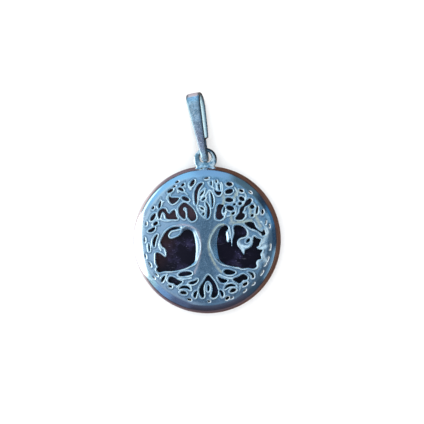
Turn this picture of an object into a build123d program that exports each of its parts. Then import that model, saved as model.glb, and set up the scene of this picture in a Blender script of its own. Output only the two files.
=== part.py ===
from build123d import *
import os
from collections import namedtuple
from math import asin, atan2, cos, degrees, radians, sin, sqrt

# Tree of life pendant, lying on its back with its bail laid out above it.
# Millimetres. Z = 0 is the back of the disc, the front faces +Z, and +Y runs from the
# centre of the disc to the eye. The origin is the centre of the disc's back.

# The disc: a low dome that rolls over a broad round shoulder into a straight side wall.
disc_radius = 12.5
disc_height = 5.2
dome_radius = 90.0
shoulder_radius = 2.7
wall = 1.3
back_edge_round = 0.35
seat_gap = 0.1

# The back plate and the stone that fill the front piece from behind.
back_thickness = 1.0
back_plate_chamfer = 0.15
stone_edge_round = 0.25

# The eye: a flat ring in the plane of the disc, worn thin where the bail hangs.
eye_shift = -0.28
eye_reach = 1.1
eye_radius = 1.95
eye_hole_radius = 1.1
eye_hole_offset = 0.25
eye_thickness = 0.85
eye_round = 0.24
eye_height = 2.3
solder_width = 3.5
solder_neck = 2.3
solder_rise = 0.15
solder_sink = 0.25
solder_thickness = 1.25
solder_chamfer = 0.3

# The bail: a strap folded over into a loop, wide at its top and narrow at the tongue
# that passes through the eye. It leans to the left, and is rolled about its length until
# its back leg lies on the surface with its left edge.
bail_length = 12.0
bail_strap = 0.6
bail_top_width = 2.6
bail_tongue_width = 0.95
bail_top_depth = 4.2
bail_tongue_depth = 2.3
bail_tongue_drop = 2.15
bail_lean = 10.0
bail_roll = 8.5
bail_edge_round = 0.12

# A small gap is a leaf shape. Its place, length and width are shares of the disc's
# radius, the turn of its long axis is in degrees from +X, and its bow is how far the
# middle stands to the left of that axis, as a share of its length.
Gap = namedtuple("Gap", "across up length width turn bow")
LEAF_CORNERS = 10

CROWN_LEFT = [
    Gap(-0.488, 0.656, 0.085, 0.038, 30, 0.0),
    Gap(-0.345, 0.668, 0.078, 0.030, -28, 0.1),
    Gap(-0.320, 0.735, 0.050, 0.030, 40, 0.0),
    Gap(-0.280, 0.545, 0.100, 0.042, -22, 0.0),
    Gap(-0.630, 0.470, 0.100, 0.030, 78, 0.0),
    Gap(-0.720, 0.425, 0.045, 0.025, 60, 0.0),
    Gap(-0.720, 0.300, 0.110, 0.042, 58, 0.0),
    Gap(-0.685, 0.214, 0.065, 0.036, 35, 0.0),
    Gap(-0.738, 0.135, 0.100, 0.038, 32, -0.1),
    Gap(-0.683, -0.018, 0.170, 0.034, 75, 0.11),
]

CROWN_CENTRE = [
    Gap(-0.190, 0.760, 0.100, 0.042, 60, 0.0),
    Gap(0.005, 0.825, 0.055, 0.020, 10, 0.0),
    Gap(-0.060, 0.618, 0.080, 0.022, 55, 0.0),
    Gap(-0.035, 0.545, 0.060, 0.022, 45, 0.0),
    Gap(0.068, 0.530, 0.205, 0.026, 95, -0.06),
    Gap(-0.055, 0.415, 0.052, 0.022, -35, 0.0),
    Gap(-0.040, 0.340, 0.040, 0.020, 60, 0.0),
    Gap(0.062, 0.755, 0.062, 0.020, 90, 0.0),
    Gap(0.170, 0.705, 0.085, 0.022, 95, 0.0),
    Gap(0.132, 0.780, 0.036, 0.020, 100, 0.0),
]

CROWN_RIGHT = [
    Gap(0.237, 0.395, 0.070, 0.020, 80, 0.0),
    Gap(0.310, 0.745, 0.085, 0.050, -10, 0.0),
    Gap(0.305, 0.645, 0.100, 0.056, 15, 0.0),
    Gap(0.305, 0.530, 0.100, 0.052, -3, 0.0),
    Gap(0.320, 0.420, 0.100, 0.056, -15, 0.0),
    Gap(0.375, 0.470, 0.034, 0.020, 30, 0.0),
    Gap(0.360, 0.350, 0.048, 0.028, 35, 0.0),
    Gap(0.470, 0.655, 0.060, 0.036, -20, 0.0),
    Gap(0.475, 0.545, 0.075, 0.046, -30, 0.0),
    Gap(0.452, 0.482, 0.044, 0.036, 20, 0.0),
    Gap(0.615, 0.440, 0.062, 0.054, 20, 0.0),
    Gap(0.615, 0.322, 0.040, 0.036, 0, 0.0),
    Gap(0.680, 0.395, 0.100, 0.032, 80, 0.0),
    Gap(0.755, 0.370, 0.062, 0.030, 90, 0.0),
    Gap(0.560, -0.015, 0.066, 0.030, 50, 0.0),
]

ROOTS = [
    Gap(-0.582, -0.535, 0.098, 0.034, 62, 0.06),
    Gap(-0.488, -0.632, 0.048, 0.030, -15, 0.0),
    Gap(0.520, -0.600, 0.076, 0.040, 35, 0.0),
    Gap(-0.285, -0.468, 0.178, 0.054, 8, 0.04),
    Gap(-0.288, -0.668, 0.150, 0.030, -6, 0.20),
    Gap(0.318, -0.644, 0.150, 0.030, 14, 0.20),
    Gap(-0.310, -0.720, 0.086, 0.042, -8, 0.06),
    Gap(0.360, -0.688, 0.086, 0.046, 20, 0.06),
    Gap(-0.143, -0.742, 0.095, 0.036, 72, 0.12),
    Gap(0.197, -0.728, 0.100, 0.036, 112, -0.12),
    Gap(-0.228, -0.810, 0.056, 0.028, -15, 0.0),
    Gap(0.280, -0.790, 0.062, 0.036, 35, 0.0),
    Gap(0.026, -0.655, 0.080, 0.028, 88, 0.0),
    Gap(0.035, -0.832, 0.034, 0.022, 0, 0.0),
]

RIM_SLITS = [
    Gap(0.800, 0.225, 0.055, 0.024, 80, 0.0),
    Gap(0.846, 0.180, 0.050, 0.020, 98, 0.0),
    Gap(0.856, -0.100, 0.085, 0.024, 85, 0.0),
    Gap(0.824, -0.262, 0.062, 0.024, 72, 0.0),
    Gap(0.790, -0.336, 0.044, 0.022, 60, 0.0),
    Gap(0.745, -0.450, 0.072, 0.026, 58, 0.0),
    Gap(0.632, -0.596, 0.048, 0.022, 45, 0.0),
    Gap(0.515, -0.690, 0.056, 0.022, 45, 0.0),
    Gap(0.338, -0.786, 0.048, 0.022, 20, 0.0),
    Gap(0.590, 0.635, 0.052, 0.026, -35, 0.0),
    Gap(-0.815, 0.210, 0.050, 0.024, 85, 0.0),
    Gap(-0.832, -0.010, 0.060, 0.022, 90, 0.0),
    Gap(-0.772, -0.110, 0.100, 0.026, 95, 0.0),
    Gap(-0.820, -0.228, 0.055, 0.024, 105, 0.0),
    Gap(-0.760, -0.340, 0.064, 0.026, 115, 0.0),
    Gap(-0.672, -0.478, 0.044, 0.022, 128, 0.0),
    Gap(-0.708, -0.514, 0.040, 0.020, 128, 0.0),
    Gap(-0.395, 0.775, 0.046, 0.022, 25, 0.0),
    Gap(-0.432, 0.714, 0.040, 0.020, 30, 0.0),
]

SMALL_GAPS = CROWN_LEFT + CROWN_CENTRE + CROWN_RIGHT + ROOTS + RIM_SLITS

# A large gap is a smooth closed outline. Each row names it and gives the few places
# that it passes through, across and up, as shares of the disc's radius.
Outline = namedtuple("Outline", "name places")
CORNERS_PER_SPAN = 2

LARGE_GAPS = [
    Outline("left_of_trunk", [
        (-0.352, 0.160), (-0.448, 0.162), (-0.540, 0.108), (-0.588, 0.028),
        (-0.616, -0.040), (-0.588, -0.096), (-0.550, -0.125), (-0.530, -0.200),
        (-0.556, -0.240), (-0.618, -0.198), (-0.672, -0.184), (-0.680, -0.245),
        (-0.674, -0.318), (-0.652, -0.366), (-0.670, -0.405), (-0.640, -0.438),
        (-0.560, -0.424), (-0.440, -0.420), (-0.300, -0.388), (-0.212, -0.344),
        (-0.158, -0.296), (-0.142, -0.200), (-0.140, -0.100), (-0.156, 0.020),
        (-0.184, 0.102), (-0.248, 0.134), (-0.308, 0.112), (-0.352, 0.056),
        (-0.408, 0.024), (-0.482, 0.006), (-0.520, 0.050), (-0.480, 0.116),
        (-0.408, 0.138),
    ]),
    Outline("right_of_trunk", [
        (0.252, 0.188), (0.192, 0.152), (0.156, 0.068), (0.140, -0.040),
        (0.152, -0.172), (0.172, -0.260), (0.232, -0.324), (0.360, -0.360),
        (0.440, -0.372), (0.480, -0.388), (0.560, -0.380), (0.628, -0.388),
        (0.672, -0.364), (0.664, -0.310), (0.690, -0.272), (0.734, -0.258),
        (0.724, -0.195), (0.750, -0.142), (0.700, -0.136), (0.670, -0.106),
        (0.704, -0.080), (0.712, -0.045), (0.730, -0.006), (0.680, 0.012),
        (0.640, 0.034), (0.629, -0.010), (0.616, -0.080), (0.564, -0.124),
        (0.522, -0.145), (0.504, -0.204), (0.460, -0.144), (0.414, -0.084),
        (0.412, -0.020), (0.456, 0.024), (0.520, 0.042), (0.542, 0.092),
        (0.506, 0.154), (0.440, 0.184), (0.374, 0.172), (0.378, 0.080),
        (0.356, 0.000), (0.341, -0.102), (0.322, 0.002), (0.300, -0.042),
        (0.277, -0.020), (0.270, 0.036), (0.264, 0.096), (0.290, 0.150),
    ]),
    Outline("left_wing", [
        (-0.500, 0.576), (-0.470, 0.557), (-0.420, 0.558), (-0.374, 0.556),
        (-0.395, 0.520), (-0.455, 0.482), (-0.494, 0.515),
    ]),
    Outline("left_arch", [
        (-0.632, 0.280), (-0.652, 0.340), (-0.624, 0.398), (-0.560, 0.410),
        (-0.524, 0.360), (-0.496, 0.340), (-0.456, 0.380), (-0.426, 0.388),
        (-0.408, 0.310), (-0.390, 0.276), (-0.460, 0.274), (-0.532, 0.282),
        (-0.554, 0.338), (-0.590, 0.376), (-0.614, 0.340),
    ]),
    Outline("left_ear", [
        (-0.372, 0.420), (-0.310, 0.488), (-0.255, 0.472), (-0.190, 0.415),
        (-0.150, 0.350), (-0.142, 0.280), (-0.198, 0.250), (-0.246, 0.300),
        (-0.252, 0.362), (-0.262, 0.422), (-0.300, 0.436), (-0.318, 0.400),
        (-0.286, 0.360), (-0.284, 0.290), (-0.310, 0.282), (-0.362, 0.340),
    ]),
    Outline("long_crescent", [
        (-0.060, 0.758), (-0.110, 0.735), (-0.150, 0.660), (-0.160, 0.590),
        (-0.154, 0.510), (-0.140, 0.466), (-0.126, 0.500), (-0.124, 0.600),
        (-0.104, 0.676), (-0.058, 0.738),
    ]),
    Outline("centre_crescent", [
        (-0.004, 0.500), (0.032, 0.448), (0.046, 0.370), (0.032, 0.304),
        (0.010, 0.286), (0.010, 0.350), (0.014, 0.420), (-0.002, 0.470),
    ]),
    Outline("centre_cup", [
        (0.110, 0.670), (0.134, 0.646), (0.160, 0.641), (0.198, 0.640),
        (0.180, 0.600), (0.148, 0.598), (0.120, 0.632),
    ]),
    Outline("right_hook", [
        (0.150, 0.450), (0.186, 0.470), (0.232, 0.458), (0.210, 0.420),
        (0.197, 0.370), (0.214, 0.322), (0.234, 0.300), (0.190, 0.272),
        (0.142, 0.278), (0.128, 0.320), (0.136, 0.380),
    ]),
    Outline("right_branch", [
        (0.580, 0.548), (0.612, 0.530), (0.580, 0.476), (0.518, 0.442),
        (0.498, 0.395), (0.480, 0.360), (0.516, 0.325), (0.476, 0.270),
        (0.402, 0.270), (0.404, 0.304), (0.444, 0.354), (0.458, 0.416),
        (0.500, 0.462), (0.536, 0.516),
    ]),
    Outline("right_wave", [
        (0.520, 0.216), (0.570, 0.232), (0.628, 0.224), (0.662, 0.164),
        (0.712, 0.116), (0.748, 0.104), (0.772, 0.132), (0.794, 0.078),
        (0.758, 0.052), (0.716, 0.098), (0.660, 0.130), (0.592, 0.154),
    ]),
    Outline("root_left_wing", [
        (-0.514, -0.545), (-0.490, -0.508), (-0.440, -0.512), (-0.375, -0.552),
        (-0.326, -0.566), (-0.362, -0.594), (-0.404, -0.616), (-0.442, -0.588),
        (-0.496, -0.576),
    ]),
    Outline("root_right_wing", [
        (0.362, -0.534), (0.430, -0.502), (0.495, -0.470), (0.550, -0.506),
        (0.534, -0.540), (0.492, -0.544), (0.450, -0.584), (0.410, -0.572),
    ]),
    Outline("root_right_slit", [
        (0.566, -0.438), (0.622, -0.454), (0.644, -0.500), (0.620, -0.524),
        (0.606, -0.482), (0.582, -0.456),
    ]),
    Outline("root_right_slot", [
        (0.236, -0.432), (0.262, -0.409), (0.320, -0.413), (0.386, -0.440),
        (0.350, -0.466), (0.275, -0.466),
    ]),
    Outline("root_left_fin", [
        (-0.232, -0.587), (-0.200, -0.570), (-0.155, -0.558), (-0.122, -0.534),
        (-0.127, -0.565), (-0.160, -0.590), (-0.205, -0.600),
    ]),
    Outline("root_right_fin", [
        (0.156, -0.502), (0.215, -0.528), (0.278, -0.546), (0.240, -0.580),
        (0.185, -0.566),
    ]),
    Outline("root_heart", [
        (0.018, -0.484), (-0.024, -0.548), (-0.078, -0.628), (-0.096, -0.700),
        (-0.066, -0.774), (-0.036, -0.770), (-0.036, -0.720), (-0.042, -0.650),
        (-0.018, -0.576), (0.020, -0.552), (0.062, -0.584), (0.084, -0.650),
        (0.074, -0.725), (0.064, -0.768), (0.100, -0.784), (0.142, -0.748),
        (0.152, -0.690), (0.118, -0.590), (0.056, -0.508),
    ]),
]

# The half sections are drawn in an upright plane at this turn from +X. There its edge
# on the dome runs over solid metal, between two branches.
SECTION_TURN = 110.0

# Worked out from the sizes above: the dome and the shoulder are tangent arcs.
dome_centre = disc_height - dome_radius
shoulder_centre = disc_radius - shoulder_radius
shoulder_height = dome_centre + sqrt((dome_radius - shoulder_radius) ** 2 - shoulder_centre ** 2)
dome_half_angle = degrees(atan2(shoulder_centre, shoulder_height - dome_centre))
stone_base = back_thickness + seat_gap
pocket_inset = wall
stone_inset = wall + seat_gap
back_plate_radius = disc_radius - wall - seat_gap

section_across = cos(radians(SECTION_TURN))
section_up = sin(radians(SECTION_TURN))
section_plane = Plane(
    origin=(0, 0, 0),
    x_dir=(section_across, section_up, 0),
    z_dir=(section_up, -section_across, 0),
)

eye_across = eye_shift
eye_up = disc_radius + eye_reach
wire_outer = eye_radius
wire_inner = eye_hole_offset + eye_hole_radius
wire_middle = (wire_outer + wire_inner) / 2
lean_across = -sin(radians(bail_lean))
lean_up = cos(radians(bail_lean))
pivot_across = eye_across + lean_across * wire_middle
pivot_up = eye_up + lean_up * wire_middle

tongue_round = bail_tongue_depth / 2
top_round = bail_top_depth / 2
tongue_centre = tongue_round - bail_tongue_drop
top_centre = bail_length - bail_tongue_drop - top_round


def solid_of_revolution(inset, base):
    """The disc's half section, moved inward by inset and standing on the height base."""
    side = disc_radius - inset
    top = disc_height - inset
    CenterArc((0, dome_centre), dome_radius - inset, 90, -dome_half_angle)
    CenterArc(
        (shoulder_centre, shoulder_height),
        shoulder_radius - inset,
        90 - dome_half_angle,
        dome_half_angle - 90,
    )
    Polyline((side, shoulder_height), (side, base), (0, base), (0, top))


def leaf_loop(gap):
    """The corners of a small gap's outline: an oval whose middle line may bow."""
    long_half = disc_radius * gap.length / 2
    wide_half = disc_radius * gap.width / 2
    sagitta = 2 * long_half * gap.bow
    turn = radians(gap.turn)
    corners = []
    for step in range(LEAF_CORNERS):
        angle = radians(360 * step / LEAF_CORNERS)
        along = long_half * cos(angle)
        aside = wide_half * sin(angle) + sagitta * sin(angle) ** 2
        across = disc_radius * gap.across + along * cos(turn) - aside * sin(turn)
        up = disc_radius * gap.up + along * sin(turn) + aside * cos(turn)
        corners.append((across, up))
    return corners


def smooth_loop(places):
    """The corners of a large gap's outline: a smooth closed line through its places."""
    corners = []
    for i in range(len(places)):
        before, start, stop, after = (places[(i + k) % len(places)] for k in (-1, 0, 1, 2))
        for step in range(CORNERS_PER_SPAN):
            t = step / CORNERS_PER_SPAN
            weights = (
                (2 * t ** 2 - t - t ** 3) / 2,
                (2 - 5 * t ** 2 + 3 * t ** 3) / 2,
                (t + 4 * t ** 2 - 3 * t ** 3) / 2,
                (t ** 3 - t ** 2) / 2,
            )
            across, up = (
                sum(weight * place[axis] for weight, place in zip(weights, (before, start, stop, after)))
                for axis in (0, 1)
            )
            corners.append((disc_radius * across, disc_radius * up))
    return corners


def teardrop(inset):
    """The bail seen from its side: two round ends joined by tangent lines."""
    small = tongue_round - inset
    large = top_round - inset
    flare = degrees(asin((large - small) / (top_centre - tongue_centre)))
    CenterArc((tongue_centre, 0), small, 90 + flare, 180 - 2 * flare)
    CenterArc((top_centre, 0), large, -90 - flare, 180 + 2 * flare)
    for side in (1, -1):
        lift = radians(90 + flare)
        Line(
            (tongue_centre + small * cos(lift), side * small * sin(lift)),
            (top_centre + large * cos(lift), side * large * sin(lift)),
        )


# The eye and the solder that flows from its foot along the wall.
with BuildPart() as eye:
    with BuildSketch(Plane.XY.offset(eye_height - solder_thickness / 2)):
        with BuildLine():
            Polyline(
                (eye_across - solder_width / 2, disc_radius - wall),
                (eye_across - solder_width / 2, disc_radius - solder_sink),
                (eye_across - solder_neck / 2, disc_radius + solder_rise),
                (eye_across + solder_neck / 2, disc_radius + solder_rise),
                (eye_across + solder_width / 2, disc_radius - solder_sink),
                (eye_across + solder_width / 2, disc_radius - wall),
                close=True,
            )
        make_face()
    extrude(amount=solder_thickness)
    chamfer(eye.faces().filter_by(Axis.Z).edges(), solder_chamfer)
    with BuildSketch(Plane.XY.offset(eye_height - eye_thickness / 2)):
        with Locations((eye_across, eye_up)):
            Circle(eye_radius)
    extrude(amount=eye_thickness)
    with BuildSketch(Plane.XY.offset(eye_height)):
        with Locations((eye_across, eye_up + eye_hole_offset)):
            Circle(eye_hole_radius)
    extrude(amount=solder_thickness, both=True, mode=Mode.SUBTRACT)
    ring_edges = eye.edges().filter_by(GeomType.CIRCLE).group_by(Axis.Z)
    fillet(ring_edges[0] + ring_edges[-1], eye_round)

# The cast front: dome, shoulder and wall in one, hollow from behind, with the tree
# pierced through it and the eye soldered to its top.
with BuildPart() as tree_front:
    with BuildSketch(section_plane):
        with BuildLine():
            solid_of_revolution(0, 0)
        make_face()
    revolve(axis=Axis.Z)
    fillet(tree_front.faces().sort_by(Axis.Z)[0].edges(), back_edge_round)
    add(eye.part)
    with BuildSketch(section_plane):
        with BuildLine():
            solid_of_revolution(pocket_inset, 0)
        make_face()
    revolve(axis=Axis.Z, mode=Mode.SUBTRACT)
    with BuildSketch(Plane.XY.offset(shoulder_height)):
        for gap in SMALL_GAPS:
            with BuildLine():
                Polyline(*leaf_loop(gap), close=True)
            make_face()
        for gap in LARGE_GAPS:
            with BuildLine():
                Polyline(*smooth_loop(gap.places), close=True)
            make_face()
    extrude(amount=disc_height, mode=Mode.SUBTRACT)
tree_front.part.label = "tree_front"

# The dark stone follows the underside of the front, a seat gap below it.
with BuildPart() as stone:
    with BuildSketch(section_plane):
        with BuildLine():
            solid_of_revolution(stone_inset, stone_base)
        make_face()
    revolve(axis=Axis.Z)
    fillet(stone.faces().sort_by(Axis.Z)[0].edges(), stone_edge_round)
stone.part.label = "stone"

# The plate that closes the back, flush with the end of the wall.
with BuildPart() as back_plate:
    Cylinder(back_plate_radius, back_thickness, align=(Align.CENTER, Align.CENTER, Align.MIN))
    chamfer(back_plate.faces().sort_by(Axis.Z)[0].edges(), back_plate_chamfer)
back_plate.part.label = "back_plate"

# The bail's loop is cut from its side view, then trimmed to the taper of its front.
bail_along = Vector(lean_across, lean_up, 0)
bail_width = Vector(
    lean_up * cos(radians(bail_roll)),
    -lean_across * cos(radians(bail_roll)),
    sin(radians(bail_roll)),
)
bail_pivot = Vector(pivot_across, pivot_up, eye_height)
bail_plane = Plane(origin=bail_pivot, x_dir=bail_along, z_dir=bail_width)
bail_front = Plane(origin=bail_pivot, x_dir=bail_along, z_dir=bail_width.cross(bail_along))
with BuildPart() as bail:
    with BuildSketch(bail_plane):
        with BuildLine():
            teardrop(0)
        make_face()
        with BuildLine():
            teardrop(bail_strap)
        make_face(mode=Mode.SUBTRACT)
    extrude(amount=bail_top_width, both=True)
    with BuildSketch(bail_front):
        with BuildLine():
            tip = -bail_tongue_drop
            crest = bail_length - bail_tongue_drop
            Polyline(
                (tip, -bail_tongue_width / 2),
                (crest, -bail_top_width / 2),
                (crest, bail_top_width / 2),
                (tip, bail_tongue_width / 2),
                close=True,
            )
        make_face()
    extrude(amount=bail_top_depth, both=True, mode=Mode.INTERSECT)
    long_edges = bail.edges().filter_by(lambda edge: abs(edge.tangent_at(0.5).dot(bail_width)) < 0.5)
    fillet(long_edges, bail_edge_round)
bail.part.label = "bail"

os.makedirs("parts", exist_ok=True)
export_step(tree_front.part, "parts/tree_front.step")
export_step(stone.part, "parts/stone.step")
export_step(back_plate.part, "parts/back_plate.step")
export_step(bail.part, "parts/bail.step")
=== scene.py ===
import math
from collections import namedtuple

import bpy
import numpy as np
from mathutils import Matrix, Vector, geometry, kdtree, noise


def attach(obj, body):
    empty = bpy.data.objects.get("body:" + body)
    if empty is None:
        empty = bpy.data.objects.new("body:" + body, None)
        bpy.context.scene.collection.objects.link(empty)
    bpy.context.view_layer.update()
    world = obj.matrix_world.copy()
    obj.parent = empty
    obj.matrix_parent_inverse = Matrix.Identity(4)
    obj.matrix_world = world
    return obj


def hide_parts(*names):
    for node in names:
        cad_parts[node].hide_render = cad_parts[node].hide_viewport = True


# Tree of life pendant, lying on its back. Lengths are millimetres unless a name says
# otherwise, and a mesh is scaled to metres when it is made.
MM = 0.001
disc_radius = 12.5
disc_height = 5.2
dome_radius = 90.0
shoulder_radius = 2.7
wall = 1.3
back_edge_round = 0.35
seat_gap = 0.1
back_thickness = 1.0
back_plate_chamfer = 0.15
inner_chamfer = 0.04
stone_edge_round = 0.25
eye_shift = -0.28
eye_reach = 1.1
eye_radius = 1.95
eye_hole_radius = 1.1
eye_hole_offset = 0.25
eye_thickness = 0.85
eye_height = 2.3
eye_fill = 0.13
eye_voxel = 0.055
bail_length = 12.0
bail_strap = 0.6
bail_top_width = 2.6
bail_tongue_width = 0.95
bail_top_depth = 4.2
bail_tongue_depth = 2.3
bail_tongue_drop = 2.15
bail_lean = 10.0
bail_roll = 8.5

shoulder_centre = disc_radius - shoulder_radius
dome_centre = disc_height - dome_radius
shoulder_from = dome_radius - shoulder_radius
shoulder_height = dome_centre + math.sqrt(shoulder_from ** 2 - shoulder_centre ** 2)
dome_share = shoulder_centre / shoulder_from
pocket_radius = disc_radius - wall
disc_m = disc_radius * MM

# The small gaps between leaves. A place, length and width are shares of the disc's radius,
# the turn of the long axis is in degrees from +X, and the bow is a share of the length.
Gap = namedtuple("Gap", "across up length width turn bow", defaults=[0.0])

CROWN_LEFT = [
    Gap(-0.488, 0.656, 0.085, 0.038, 30),
    Gap(-0.345, 0.668, 0.078, 0.030, -28, 0.1),
    Gap(-0.320, 0.735, 0.050, 0.030, 40),
    Gap(-0.280, 0.545, 0.100, 0.042, -22),
    Gap(-0.630, 0.470, 0.100, 0.030, 78),
    Gap(-0.720, 0.425, 0.045, 0.025, 60),
    Gap(-0.720, 0.300, 0.110, 0.042, 58),
    Gap(-0.685, 0.214, 0.065, 0.036, 35),
    Gap(-0.738, 0.135, 0.100, 0.038, 32, -0.1),
    Gap(-0.683, -0.018, 0.170, 0.034, 75, 0.11),
]

CROWN_CENTRE = [
    Gap(-0.190, 0.760, 0.100, 0.042, 60),
    Gap(0.005, 0.825, 0.055, 0.020, 10),
    Gap(-0.060, 0.618, 0.080, 0.022, 55),
    Gap(-0.035, 0.545, 0.060, 0.022, 45),
    Gap(0.068, 0.530, 0.205, 0.026, 95, -0.06),
    Gap(-0.055, 0.415, 0.052, 0.022, -35),
    Gap(-0.040, 0.340, 0.040, 0.020, 60),
    Gap(0.062, 0.755, 0.062, 0.020, 90),
    Gap(0.170, 0.705, 0.085, 0.022, 95),
    Gap(0.132, 0.780, 0.036, 0.020, 100),
]

CROWN_RIGHT = [
    Gap(0.237, 0.395, 0.070, 0.020, 80),
    Gap(0.310, 0.745, 0.085, 0.050, -10),
    Gap(0.305, 0.645, 0.100, 0.056, 15),
    Gap(0.305, 0.530, 0.100, 0.052, -3),
    Gap(0.320, 0.420, 0.100, 0.056, -15),
    Gap(0.375, 0.470, 0.034, 0.020, 30),
    Gap(0.360, 0.350, 0.048, 0.028, 35),
    Gap(0.470, 0.655, 0.060, 0.036, -20),
    Gap(0.475, 0.545, 0.075, 0.046, -30),
    Gap(0.452, 0.482, 0.044, 0.036, 20),
    Gap(0.615, 0.440, 0.062, 0.054, 20),
    Gap(0.615, 0.322, 0.040, 0.036, 0),
    Gap(0.680, 0.395, 0.100, 0.032, 80),
    Gap(0.755, 0.370, 0.062, 0.030, 90),
    Gap(0.560, -0.015, 0.066, 0.030, 50),
]

ROOTS = [
    Gap(-0.582, -0.535, 0.098, 0.034, 62, 0.06),
    Gap(-0.488, -0.632, 0.048, 0.030, -15),
    Gap(0.520, -0.600, 0.076, 0.040, 35),
    Gap(-0.285, -0.468, 0.178, 0.054, 8, 0.04),
    Gap(-0.288, -0.668, 0.150, 0.030, -6, 0.20),
    Gap(0.318, -0.644, 0.150, 0.030, 14, 0.20),
    Gap(-0.310, -0.720, 0.086, 0.042, -8, 0.06),
    Gap(0.360, -0.688, 0.086, 0.046, 20, 0.06),
    Gap(-0.143, -0.742, 0.095, 0.036, 72, 0.12),
    Gap(0.197, -0.728, 0.100, 0.036, 112, -0.12),
    Gap(-0.228, -0.810, 0.056, 0.028, -15),
    Gap(0.280, -0.790, 0.062, 0.036, 35),
    Gap(0.026, -0.655, 0.080, 0.028, 88),
    Gap(0.035, -0.832, 0.034, 0.022, 0),
]

RIM_SLITS = [
    Gap(0.800, 0.225, 0.055, 0.009, 80),
    Gap(0.846, 0.180, 0.050, 0.009, 98),
    Gap(0.856, -0.100, 0.080, 0.009, 85),
    Gap(0.824, -0.262, 0.060, 0.009, 72),
    Gap(0.790, -0.336, 0.044, 0.009, 60),
    Gap(0.745, -0.450, 0.070, 0.009, 58),
    Gap(0.632, -0.596, 0.048, 0.011, 45),
    Gap(0.515, -0.690, 0.054, 0.011, 45),
    Gap(0.338, -0.786, 0.046, 0.015, 20),
    Gap(0.590, 0.635, 0.050, 0.018, -35),
    Gap(-0.815, 0.210, 0.050, 0.015, 85),
    Gap(-0.832, -0.010, 0.060, 0.012, 90),
    Gap(-0.772, -0.110, 0.100, 0.016, 95),
    Gap(-0.820, -0.228, 0.055, 0.012, 105),
    Gap(-0.760, -0.340, 0.064, 0.016, 115),
    Gap(-0.672, -0.478, 0.044, 0.014, 128),
    Gap(-0.708, -0.514, 0.040, 0.013, 128),
    Gap(-0.395, 0.775, 0.046, 0.022, 25),
    Gap(-0.432, 0.714, 0.040, 0.020, 30),
]

SMALL_GAPS = CROWN_LEFT + CROWN_CENTRE + CROWN_RIGHT + ROOTS + RIM_SLITS

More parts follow.
